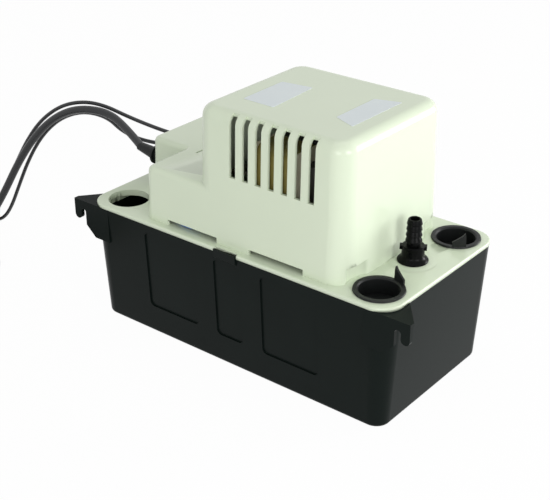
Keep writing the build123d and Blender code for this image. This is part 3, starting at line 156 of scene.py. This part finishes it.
def wound(centre, start_angle, turns, radii, levels, last=()):
    """Points of a two-layer coil: the lower layer winds in, the upper one winds out again."""
    low, high = levels
    climb, hold = 0.6, 0.8  # shares of a lap: where the last low turn climbs, and where a low turn moves in
    out_from, out_to = 0.4, 0.6  # and between which a high turn moves out
    stations = []
    for lap, radius in enumerate(radii):
        stations += [(lap, radius, low), (lap + climb, radius, low), (lap + hold, radius, low)]
    inner_lap = len(radii) - 1
    stations[-1] = (inner_lap + hold, radii[-1], high)
    for step, radius in enumerate(reversed(radii)):
        if step:
            stations.append((inner_lap + step + out_to, radius, high))
        stations.append((inner_lap + step + 1 + out_from, radius, high))
    stations += last
    widen = 1 / cos(pi / points_per_turn)
    points = []
    for step in range(1, round(turns * points_per_turn) + 1):
        turn = step / points_per_turn
        radius, level = between(stations, turn)
        angle = radians(start_angle + 360 * turn)
        reach = radius * widen
        points.append((centre[0] + reach * cos(angle), centre[1] + reach * sin(angle), level))
    return points


def lay_cord(name, points, size, material):
    """A cord as one smooth curve through space, round in section."""
    curve = bpy.data.curves.new(name, "CURVE")
    curve.dimensions = "3D"
    curve.bevel_depth = size / 2
    curve.bevel_resolution = 5
    curve.use_fill_caps = True
    spline = curve.splines.new("NURBS")
    spline.points.add(len(points) - 1)
    for point, (x, y, z) in zip(spline.points, points):
        point.co = (x * MM, y * MM, z * MM, 1.0)
    spline.order_u = 3
    spline.use_endpoint_u = True
    spline.resolution_u = 6
    cord = bpy.data.objects.new(name, curve)
    bpy.context.scene.collection.objects.link(cord)
    curve.materials.append(material)
    return cord


def new_piece(name, mesh, material, body="pump_housing"):
    """Turns a bmesh into a piece of the pump that rides on one of its bodies."""
    data = bpy.data.meshes.new(name)
    mesh.to_mesh(data)
    mesh.free()
    piece = bpy.data.objects.new(name, data)
    bpy.context.scene.collection.objects.link(piece)
    data.materials.append(material)
    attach(piece, body)
    return piece


def tie_band(name, centre, angle, inside, outside, top, width, thick, corner, material):
    """A flat band closed round the bundle of turns, with its overlap on top."""
    span = outside - inside
    overlap = 0.45 * span
    facing = 0.9
    mesh = bmesh.new()
    bmesh.ops.create_cube(mesh, size=1.0)
    bmesh.ops.scale(mesh, vec=(span * MM, width * MM, top * MM), verts=mesh.verts)
    along = [
        edge for edge in mesh.edges
        if abs((edge.verts[0].co - edge.verts[1].co).normalized().y) > facing
    ]
    bmesh.ops.bevel(
        mesh, geom=along, offset=corner * MM, segments=5, profile=0.5, affect="EDGES", material=-1,
    )
    ends = [face for face in mesh.faces if abs(face.normal.y) > facing]
    bmesh.ops.delete(mesh, geom=ends, context="FACES_ONLY")
    bmesh.ops.recalc_face_normals(mesh, faces=mesh.faces)
    bmesh.ops.solidify(mesh, geom=mesh.faces[:], thickness=thick * MM)
    bmesh.ops.create_cube(
        mesh, size=1.0,
        matrix=Matrix.Translation((0, 0, (top / 2 + thick / 2) * MM))
        @ Matrix.Diagonal((overlap * MM, width * MM, thick * MM, 1)),
    )
    bmesh.ops.translate(mesh, vec=((inside + outside) / 2 * MM, 0, top / 2 * MM), verts=mesh.verts)
    bmesh.ops.rotate(mesh, cent=(0, 0, 0), matrix=Matrix.Rotation(radians(angle), 3, "Z"), verts=mesh.verts)
    bmesh.ops.translate(mesh, vec=(centre[0] * MM, centre[1] * MM, 0), verts=mesh.verts)
    return new_piece(name, mesh, material)


# PVC, extruded: smooth and a little oily, with a dull shine along its length.
cord_pvc = moulded("pvc_jacket_extruded", jacket_black, "#1b1d20", 0.36, 0.9, 0.03)
mains_drop = (
    (5.5, mains_last_radius, mains_levels[1]), (5.65, mains_last_radius, mains_levels[0]),
    (7.0, mains_last_radius, mains_levels[0]),
)
mains_coil = wound(mains_centre, mains_coil_angle, mains_turns, mains_radii, mains_levels, mains_drop)
mains_path = (*mains_route, mains_landing, *mains_coil, *mains_tail)
mains_lead = lay_cord("mains_lead", mains_path, mains_size, cord_pvc)
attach(mains_lead, "pump_housing")
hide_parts("power_cord", "power_cord_coil", "power_cord_tail")

# Hook-and-loop band of woven nylon: dull, with a coarse weave.
band_nylon = moulded("nylon_tape_woven", "#1d1f22", "#26292c", 0.8, 0.7, 0.12, 0.3)
mains_band = tie_band(
    "mains_coil_band", mains_centre, angle=20, inside=25.4, outside=52.8, top=13.6, width=14, thick=0.9,
    corner=3.0, material=band_nylon,
)

# ---------------------------------------------------------------- alarm leads
# Two single-core leads from the safety switch, each in its own black PVC insulation. They leave the hood by
# two small holes beside the mains lead, fall with it and are put away in one small coil, their ends stripped.
lead_size = 3.2 * MM
lead_centre = (-340, -40)
lead_radii = (20.8, 17.6, 14.4, 11.2)
lead_a_route = (
    (-118, 30, 120.8), (-132, 29.4, 121), (-152, 25, 123.5), (-169, 17.8, 128.8), (-184, 12, 134),
    (-197, 8, 138.4), (-213, 3.2, 140.2), (-231, -1.2, 136.5), (-248, -4.5, 128), (-266, -8, 113),
    (-282, -11.5, 92), (-296, -14.5, 68), (-309, -17.5, 45), (-319, -19, 28), (-327, -19.2, 18),
    (-336, -19.2, 11), (-346, -20, 8.4),
)
lead_b_route = (
    (-118, 12, 121), (-133, 11.4, 120), (-150, 8.6, 118.6), (-165, 5.2, 120.2), (-178, 3.2, 124.5),
    (-190, 4.6, 129.3), (-204, 3.3, 131.6), (-219, 0.8, 130.6), (-235, -2, 124.8), (-251, -4.5, 114.5),
    (-268, -7.5, 97), (-283, -11, 73), (-296, -14, 46), (-306, -16, 25), (-315, -18, 11.5),
    (-326, -19, 4.5), (-341, -19.4, 1.9),
)
lead_ends_x = -360.8
lead_ends_y = (-50, -60)
lead_a_levels = (8.2, 11.4)
lead_b_levels = (1.8, 5.0)
lead_a_end_level = 11.3
lead_b_end_level = 4.9

# PVC insulation, extruded: dark and smooth, with a narrow shine along each lead.
lead_pvc = moulded("pvc_insulation_extruded", "#17181a", "#1f2124", 0.32, 0.6, 0.02)
lead_a_coil = wound(lead_centre, start_angle=106.7, turns=7.19, radii=lead_radii, levels=lead_a_levels)
lead_b_coil = wound(lead_centre, start_angle=92.8, turns=7.23, radii=lead_radii, levels=lead_b_levels)
lead_a_end = [(lead_ends_x, y, lead_a_end_level) for y in lead_ends_y]
lead_b_end = [(lead_ends_x, y, lead_b_end_level) for y in lead_ends_y]
alarm_lead_a = lay_cord("alarm_lead_long_a", (*lead_a_route, *lead_a_coil, *lead_a_end), lead_size, lead_pvc)
alarm_lead_b = lay_cord("alarm_lead_long_b", (*lead_b_route, *lead_b_coil, *lead_b_end), lead_size, lead_pvc)
lead_tie = tie_band(
    "alarm_coil_tie", lead_centre, angle=315, inside=9.2, outside=22.8, top=13.4, width=4.5, thick=0.8,
    corner=1.5, material=cord_pvc,
)
for lead, cad, coil, ties, first in (
    (alarm_lead_a, "alarm_lead_a", "alarm_coil_a", [lead_tie, nodes["lead_ends"]], lead_a_route[0]),
    (alarm_lead_b, "alarm_lead_b", "alarm_coil_b", [], lead_b_route[0]),
):
    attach(lead, "pump_housing")
    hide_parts(cad, coil)

# ---------------------------------------------------------------- wires inside the hood
# The blue neutral and the black switched wire run from the switches to the motor, in smooth PVC.


def dress(material, *names):
    """Gives carried-over CAD pieces their finish."""
    for name in names:
        slots = nodes[name].material_slots
        if slots:
            for place in slots:
                place.material = material
        else:
            nodes[name].data.materials.append(material)


# PVC insulation, extruded thin: glossier than the outer jacket, and evenly dyed.
dress(moulded("pvc_wire_blue", "#2a63b8", "#2f6cc4", 0.28, 0.6, 0.01), "blue_lead")
dress(moulded("pvc_wire_black", "#17181a", "#1f2124", 0.3, 0.6, 0.01), "black_lead")

# ---------------------------------------------------------------- tank
# One deep box of black ABS, injection moulded, with ears to hang it by and a latch for the deck.
# The tool has a light spark texture, so the walls have a soft satin sheen and no mirror.
tank_abs = moulded("abs_black_satin", "#101614", "#141b19", 0.3, 0.7, 0.03, 0.06, 40.0)
dress(tank_abs, "tank")

# ---------------------------------------------------------------- deck and hood
# Two mouldings of ivory ABS from polished tools: the deck that closes the tank, and the motor hood on it.
# The gloss is high and slightly wavy, as thick walls sink a little when they cool.
hood_abs = moulded("abs_ivory_gloss", "#dde8d0", "#d8e3cb", 0.2, 14.0, 0.05, 0.4, 60.0)
dress(hood_abs, "motor_standoffs")
smooth_angle = radians(32)
slot_count = 7
slot_pitch = 11.35
slot_middle_from = 36.35
slot_middle = 35.2
slot_half_from = 2.1
slot_half = 2.7
slot_low_from = 154.7
slot_low = 152.5
notch_roof_from = 101.7
notch_roof = 102.5
inlet_left = (-117.0, -49.5)
collar_reach = 18.5
collar_low_from = 84.4
collar_low = 93.4
slots_y = (-50, 45)
notch_front_y = -60
notches_x = (-62, 65)
joined_within = 0.002
closeness = 0.06


def finish_shading(piece):
    """Rounds shade smooth and edges stay crisp."""
    piece.data.shade_smooth()
    piece.data.set_sharp_from_angle(angle=smooth_angle)
    flats = piece.modifiers.new("true_flats", "WEIGHTED_NORMAL")
    flats.keep_sharp = True


def copy_moulding(node):
    """The moulding's own skin, with its loose triangles joined, to be shaped further."""
    mesh = bmesh.new()
    mesh.from_mesh(nodes[node].data)
    bmesh.ops.remove_doubles(mesh, verts=mesh.verts, dist=joined_within * MM)
    return mesh


# Hood: the seven cooling slots are opened to their full width, and the two foot notches to their full height.
mesh = copy_moulding("motor_cover")
for step in range(slot_count):
    shift = (step - (slot_count - 1) / 2) * slot_pitch
    for side in (-1, 1):
        old = slot_middle_from + shift + side * slot_half_from
        new = slot_middle + shift + side * slot_half
        wall = [
            vert for vert in mesh.verts
            if abs(vert.co.x / MM - old) < closeness and vert.co.z / MM > slot_low_from - closeness
            and not slots_y[0] < vert.co.y / MM < slots_y[1]
        ]
        bmesh.ops.translate(mesh, vec=((new - old) * MM, 0, 0), verts=wall)
        sill = [vert for vert in wall if abs(vert.co.z / MM - slot_low_from) < closeness]
        bmesh.ops.translate(mesh, vec=(0, 0, (slot_low - slot_low_from) * MM), verts=sill)
notches = [
    vert for vert in mesh.verts
    if abs(vert.co.z / MM - notch_roof_from) < closeness and vert.co.y / MM < notch_front_y
    and notches_x[0] < vert.co.x / MM < notches_x[1]
]
bmesh.ops.translate(mesh, vec=(0, 0, (notch_roof - notch_roof_from) * MM), verts=notches)
hood = new_piece("motor_hood", mesh, hood_abs)
finish_shading(hood)
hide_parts("motor_cover")

# Deck: the open left inlet has only a short lip under the plate.
mesh = copy_moulding("tank_cover")
lip = [
    vert for vert in mesh.verts
    if abs(vert.co.z / MM - collar_low_from) < closeness
    and (vert.co.xy / MM - Vector(inlet_left)).length < collar_reach
]
bmesh.ops.translate(mesh, vec=(0, 0, (collar_low - collar_low_from) * MM), verts=lip)
deck = new_piece("tank_deck", mesh, hood_abs)
finish_shading(deck)
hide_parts("tank_cover")

# ---------------------------------------------------------------- labels on the hood
# Two blank labels of white polyester film, die cut with round corners and stuck to the roof of the hood.
label_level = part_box("motor_cover")[1][2]
label_thick = 0.15 * MM
label_corner = 1.2 * MM
# Polyester film, printed white: a smooth, even half shine, a little cooler than the hood.
label_film = moulded("polyester_film_white", "#dfe7e8", "#d9e2e4", 0.34, 3.0, 0.01, 0.4, 30.0)
for label_name, outline in (
    ("label_left", ((-13.1, -33.5), (14.3, -34.1), (11.6, 14.7), (-13.6, 11.1))),
    ("label_right", ((59.0, -22.2), (77.5, -29.7), (78.4, 29.0), (59.1, 23.0))),
):
    mesh = bmesh.new()
    corners = [mesh.verts.new((x * MM, y * MM, label_level)) for x, y in outline]
    face = mesh.faces.new(corners)
    bmesh.ops.bevel(
        mesh, geom=corners, offset=label_corner, segments=4, profile=0.5, affect="VERTICES", material=-1,
    )
    raised = bmesh.ops.extrude_face_region(mesh, geom=mesh.faces[:])
    top = [item for item in raised["geom"] if isinstance(item, bmesh.types.BMVert)]
    bmesh.ops.translate(mesh, vec=(0, 0, label_thick), verts=top)
    bmesh.ops.recalc_face_normals(mesh, faces=mesh.faces)
    label = new_piece(label_name, mesh, label_film)

# ---------------------------------------------------------------- inlet plugs
# Two soft rubber cups that close the right inlets, each with a tab to pull it out by. They are compression
# moulded and held by their own squeeze in the bore.
deck_level = 98.3
plug_places = (
    ("inlet_plug_front", "front_plug", (117.0, -49.5), 70),
    ("inlet_plug_back", "back_plug", (117.0, 49.5), 308),
)
plug_profile = (
    (0, -12), (14.7, -12), (15.7, -10), (15.7, 0.1), (17.9, 0.1), (18.2, 0.5), (17.8, 1.7), (15.2, 1.7),
    (14.2, 0.6), (14.2, -10.5), (0, -10.5),
)
tab_outline = ((-5, 1.3), (5, 1.3), (4.7, 9), (4, 12), (2.4, 10), (0.2, 8.4), (-2.4, 6.7), (-5, 5.2))
tab_thick = 1.5
tab_from = 16.0
spin_steps = 72
spun_within = 0.005


def turn_profile(mesh, profile, closed):
    """Spins a profile of radius and height round the upright axis."""
    points = [mesh.verts.new((radius * MM, 0, level * MM)) for radius, level in profile]
    ends = points[1:] + points[:1] if closed else points[1:]
    lines = [mesh.edges.new(pair) for pair in zip(points, ends)]
    bmesh.ops.spin(
        mesh, geom=points + lines, cent=(0, 0, 0), axis=(0, 0, 1), dvec=(0, 0, 0), angle=2 * pi,
        steps=spin_steps, space=Matrix.Identity(4), use_merge=True, use_normal_flip=False, use_duplicate=False,
    )
    bmesh.ops.remove_doubles(mesh, verts=mesh.verts, dist=spun_within * MM)
    bmesh.ops.recalc_face_normals(mesh, faces=mesh.faces)


# Rubber, compression moulded: a dull skin that takes a broad, weak shine.
rubber = moulded("rubber_moulded_black", "#121414", "#191b1b", 0.45, 0.8, 0.04, 0.25)
for plug_name, plug_body, (plug_x, plug_y), tab_angle in plug_places:
    mesh = bmesh.new()
    turn_profile(mesh, plug_profile, False)
    outline = [mesh.verts.new((tab_from * MM, y * MM, z * MM)) for y, z in tab_outline]
    raised = bmesh.ops.extrude_face_region(mesh, geom=[mesh.faces.new(outline)])
    far = [item for item in raised["geom"] if isinstance(item, bmesh.types.BMVert)]
    bmesh.ops.translate(mesh, vec=(tab_thick * MM, 0, 0), verts=far)
    bmesh.ops.recalc_face_normals(mesh, faces=mesh.faces)
    tab_turn = Matrix.Rotation(radians(tab_angle), 3, "Z")
    bmesh.ops.rotate(mesh, cent=(0, 0, 0), matrix=tab_turn, verts=mesh.verts)
    bmesh.ops.translate(mesh, vec=(plug_x * MM, plug_y * MM, deck_level * MM), verts=mesh.verts)
    plug = new_piece(f"{plug_name}_rubber", mesh, rubber, plug_body)
    finish_shading(plug)
    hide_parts(plug_name)

# ---------------------------------------------------------------- barbed outlet
# The check valve that the drain tube is pushed on to: a nut with two lugs and four barbs, injection moulded
# from glass-filled nylon and seated in the deck. Its ball and its rubber seat are inside.
valve_place = (111.6, 0.0)
valve_foot = (
    (6.45, 98.8), (6.45, 85.3), (8.2, 85.3), (8.2, 98.9), (11.0, 98.9), (11.2, 99.7), (10.6, 100.6),
    (9.6, 101.3), (8.9, 102.1), (8.4, 102.9), (8.2, 103.7), (7.9, 107.9), (8.2, 108.2), (8.2, 110.5),
    (7.6, 111.1), (4.8, 111.1),
)
barb_low = 113.8
barb_pitch = 4.3
barb_ridge = 5.9
barb_neck = 4.7
barb_mouth = 4.3
barb_top = 131.0
barb_count = 4
barb_taper = 0.15
barb_rise = 0.5
barb_land = 1.1
barb_gap = 0.1
barb_round = 0.3
valve_bore = ((3.6, 131.0), (3.2, 130.6), (3.2, 108.1), (5.4, 106.9), (5.4, 98.8))
lug_size = (19.0, 4.8, 2.8)
lug_level = 109.3
lug_turn = 30

# Glass-filled nylon, moulded: nearly black, with a tight shine on each ridge.
nylon_black = moulded("nylon_glass_filled_black", "#050606", "#080909", 0.26, 0.6, 0.03, 0.08)
barbs = []
for tooth in range(barb_count):
    foot = barb_low + tooth * barb_pitch
    ridge = barb_ridge - barb_taper * tooth
    barbs += [
        (barb_neck, foot), (ridge, foot + barb_rise), (ridge, foot + barb_land),
        (barb_neck, foot + barb_pitch - barb_gap),
    ]
barbs[-1] = (barb_neck, barb_top - barb_round)
mesh = bmesh.new()
turn_profile(mesh, (*valve_foot, *barbs, (barb_mouth, barb_top), *valve_bore), True)
bmesh.ops.create_cube(
    mesh, size=1.0,
    matrix=Matrix.Translation((0, 0, lug_level * MM)) @ Matrix.Rotation(radians(lug_turn), 4, "Z")
    @ Matrix.Diagonal((*[side * MM for side in lug_size], 1)),
)
bmesh.ops.translate(mesh, vec=(valve_place[0] * MM, valve_place[1] * MM, 0), verts=mesh.verts)
valve = new_piece("barbed_outlet", mesh, nylon_black)
finish_shading(valve)
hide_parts("check_valve")
# Natural nylon, moulded: cream coloured, with a waxy half shine.
nylon_natural = moulded("nylon_natural", "#d8d2bc", "#cfc8b0", roughness=0.4, grain_mm=0.8, relief_mm=0.02)
dress(nylon_natural, "check_ball")
dress(rubber, "valve_seat")

# ---------------------------------------------------------------- mains plug and bare ends
# The plug is moulded on to the mains lead, with stamped brass blades, and the relief grips the lead in the
# wall of the hood. The alarm leads end in bare copper strands.


def metal(name, colour, shade, roughness, grain_mm, relief_mm):
    """Bare or plated metal: a fine grain left by the process, and a tone that varies a little."""
    material, tree, output, place = new_material(name)
    grain = add_node(
        tree, "ShaderNodeTexNoise", {"Scale": 1 / (grain_mm * MM), "Detail": 3.0}, {"Vector": place},
    )
    tone = add_node(tree, "ShaderNodeMix", {"data_type": "RGBA"}, {"Factor": grain.outputs["Fac"]})
    tone.inputs["A"].default_value = linear(colour)
    tone.inputs["B"].default_value = linear(shade)
    skin = add_node(
        tree, "ShaderNodeBump", {"Strength": 0.5, "Distance": relief_mm * MM},
        {"Height": grain.outputs["Fac"]},
    )
    surface = add_node(tree, "ShaderNodeBsdfPrincipled", {"Metallic": 1.0, "Roughness": roughness}, {
        "Base Color": tone.outputs["Result"], "Normal": skin.outputs["Normal"],
    })
    tree.links.new(surface.outputs["BSDF"], output.inputs["Surface"])
    return material


dress(rubber, "mains_plug", "cord_strain_relief")
# Brass, stamped: yellow and lightly drawn, with a clean bright edge.
brass = metal("brass_stamped", "#c9a452", "#bb9647", 0.3, 0.7, 0.01)
dress(brass, "plug_blades")
# Copper, drawn: reddish and bright where it is freshly stripped.
copper = metal("copper_drawn", "#c07a4d", "#ad6b42", 0.3, 0.5, 0.01)
dress(copper, "lead_ends")

# ---------------------------------------------------------------- motor
# A shaded-pole motor under the hood: a laminated core with a taped coil and copper shading rings, a rotor on
# a steel shaft between two bearings in die-cast brackets, and a nylon fan. Bolts hold it together.

# Coil: enamelled copper wire under polyester tape, so yellowish and slightly glossy with soft wrinkles.
dress(moulded("polyester_tape_on_coil", "#8f8448", "#6f6433", 0.35, 5.0, 0.3, 0.5, 6.0), "stator_coil")
# Steel stampings, stacked and varnished: brownish grey with a thin uneven shine.
dress(moulded("steel_varnished", "#3a3934", "#2f2d29", 0.5, 0.8, 0.05, 0.5), "stator_core")
dress(nylon_natural, "coil_bobbin")
dress(copper, "shading_rings")
# Rotor: steel stampings with cast aluminium bars, ground round, so an even grey shine.
dress(metal("rotor_steel_ground", "#9b9c9c", "#858686", 0.4, 0.6, 0.02), "rotor_core")
# Sintered bronze, full of oil: brown and dull, with open pores.
dress(metal("bronze_sintered", "#8a6238", "#6f4d2b", 0.55, 0.3, 0.03), "upper_bearing", "lower_bearing")
# Zinc, die cast: grey and dull, with the flow of the metal in its skin.
dress(metal("zinc_die_cast", "#8e9194", "#7f8285", 0.5, 1.5, 0.04), "upper_bearing_bracket",
      "lower_bearing_bracket")
# Zinc plating on turned or stamped steel: a bluish, slightly cloudy shine.
zinc_steel = metal("steel_zinc_plated", "#b4b9bd", "#a3a9ae", 0.32, 0.8, 0.01)
dress(zinc_steel, "motor_bolts", "motor_nuts", "motor_shaft", "cover_screws")
# White nylon, moulded: clean and half matt.
dress(moulded("nylon_white", "#d9d9d2", "#d2d2ca", 0.4, 0.8, 0.02), "cooling_fan")
dress(rubber, "water_slinger")

# ---------------------------------------------------------------- pump
# A small centrifugal pump on a column under the deck: impeller, volute and intake plate of polypropylene,
# screwed together, with a clear tube up to the valve.

# Polypropylene, moulded: black with a greasy, half-matt skin.
dress(moulded("polypropylene_black", "#1b1d1f", "#202325", 0.45, 0.7, 0.03), "impeller", "pump_column",
      "volute", "intake_plate")
dress(zinc_steel, "column_screws", "volute_screws")
# Clear vinyl, extruded: glassy, with faint waves along its wall.
clear_vinyl, tree, output, place = new_material("vinyl_tube_clear")
waves = add_node(tree, "ShaderNodeTexNoise", {"Scale": 1 / (4.0 * MM)}, {"Vector": place})
vinyl_skin = add_node(
    tree, "ShaderNodeBump", {"Strength": 0.3, "Distance": 0.05 * MM}, {"Height": waves.outputs["Fac"]},
)
vinyl = add_node(
    tree, "ShaderNodeBsdfPrincipled",
    {"Base Color": linear("#eef0ea"), "Roughness": 0.12, "Transmission Weight": 0.85, "IOR": 1.53},
    {"Normal": vinyl_skin.outputs["Normal"]},
)
tree.links.new(vinyl.outputs["BSDF"], output.inputs["Surface"])
dress(clear_vinyl, "discharge_tube")

# ---------------------------------------------------------------- float and switches
# A foam float on a steel rod in a nylon guide. It tips a lever that presses the main switch; the safety
# switch has its own plunger. Both are screwed to a stamped bracket.

# Polystyrene beads, steamed together: white and matt, and the beads show in the skin.
float_foam, tree, output, place = new_material("polystyrene_bead_foam")
bead_size = 2.5 * MM
beads = add_node(tree, "ShaderNodeTexVoronoi", {"Scale": 1 / bead_size}, {"Vector": place})
foam_skin = add_node(
    tree, "ShaderNodeBump", {"Strength": 0.5, "Distance": 0.15 * MM, "invert": True},
    {"Height": beads.outputs["Distance"]},
)
foam = add_node(
    tree, "ShaderNodeBsdfPrincipled", {"Base Color": linear("#ecebe4"), "Roughness": 0.7},
    {"Normal": foam_skin.outputs["Normal"]},
)
tree.links.new(foam.outputs["BSDF"], output.inputs["Surface"])
dress(float_foam, "float_block")
dress(nylon_natural, "float_guide", "rocker_lever")
dress(zinc_steel, "float_rod", "float_clips", "switch_bracket", "bracket_screws", "switch_screws",
      "rocker_pin")
# Phenolic resin, pressed: near black and hard, with a low sheen.
dress(moulded("phenolic_black", "#232325", "#2a2a2d", 0.4, 0.5, 0.02), "main_switch", "safety_switch")
# Red nylon, moulded: small bright buttons.
dress(moulded("nylon_red", "#b3261e", "#a8221b", 0.35, 0.6, 0.01), "main_plunger", "safety_plunger")
dress(brass, "switch_terminals")

# ---------------------------------------------------------------- world, lamps and floor
# A white studio: an even sky and a matt white floor that glows to the eye, lit by four square softboxes.
floor_half = 6.0
floor_glow = 0.97
sky_fill = 0.48
lamp_aim = (0, 0, 0.1)
lamps = (
    ("softbox_right", (1.05, -0.25, 0.42), 0.5, 4.0),
    ("softbox_front", (0.55, -1.25, 0.5), 0.6, 4.2),
    ("softbox_top", (-0.1, 0.2, 1.3), 0.8, 2.0),
    ("softbox_back", (0.75, 1.0, 0.3), 0.5, 8.4),
)


def seen_directly(tree):
    """One for rays from the eye, straight, mirrored or through glass, and nothing for other light."""
    rays = add_node(tree, "ShaderNodeLightPath")
    either = rays.outputs["Is Camera Ray"]
    for kind in ("Is Glossy Ray", "Is Transmission Ray"):
        larger = add_node(tree, "ShaderNodeMath", {"operation": "MAXIMUM"})
        tree.links.new(either, larger.inputs[0])
        tree.links.new(rays.outputs[kind], larger.inputs[1])
        either = larger.outputs[0]
    return either


floor_mesh = bmesh.new()
bmesh.ops.create_grid(floor_mesh, x_segments=1, y_segments=1, size=floor_half)
floor_data = bpy.data.meshes.new("floor")
floor_mesh.to_mesh(floor_data)
floor_mesh.free()
floor = bpy.data.objects.new("floor", floor_data)
bpy.context.scene.collection.objects.link(floor)
floor_paint, tree, output, place = new_material("studio_floor_matt_white")
matt = add_node(tree, "ShaderNodeBsdfDiffuse", {"Color": linear("#f4f4f4")})
glow = add_node(tree, "ShaderNodeEmission", {"Color": (1, 1, 1, 1), "Strength": 1.0})
share = add_node(tree, "ShaderNodeMath", {"operation": "MULTIPLY"})
tree.links.new(seen_directly(tree), share.inputs[0])
share.inputs[1].default_value = floor_glow
floor_mix = add_node(tree, "ShaderNodeMixShader")
tree.links.new(share.outputs[0], floor_mix.inputs[0])
tree.links.new(matt.outputs[0], floor_mix.inputs[1])
tree.links.new(glow.outputs[0], floor_mix.inputs[2])
tree.links.new(floor_mix.outputs[0], output.inputs["Surface"])
floor_data.materials.append(floor_paint)

world = bpy.data.worlds.new("studio")
bpy.context.scene.world = world
world.use_nodes = True
tree = world.node_tree
tree.nodes.clear()
strength = add_node(
    tree, "ShaderNodeMapRange", {"To Min": sky_fill, "To Max": 1.0}, {"Value": seen_directly(tree)},
)
sky = add_node(
    tree, "ShaderNodeBackground", {"Color": (1, 1, 1, 1)}, {"Strength": strength.outputs["Result"]},
)
output = add_node(tree, "ShaderNodeOutputWorld", None, {"Surface": sky.outputs["Background"]})

for lamp_name, lamp_place, lamp_size, lamp_power in lamps:
    lamp_data = bpy.data.lights.new(lamp_name, "AREA")
    lamp_data.shape = "SQUARE"
    lamp_data.size = lamp_size
    lamp_data.energy = lamp_power
    lamp = bpy.data.objects.new(lamp_name, lamp_data)
    lamp.location = lamp_place
    lamp.rotation_euler = (Vector(lamp_aim) - Vector(lamp_place)).to_track_quat("-Z", "Y").to_euler()
    bpy.context.scene.collection.objects.link(lamp)
bpy.context.scene.view_settings.view_transform = "Standard"
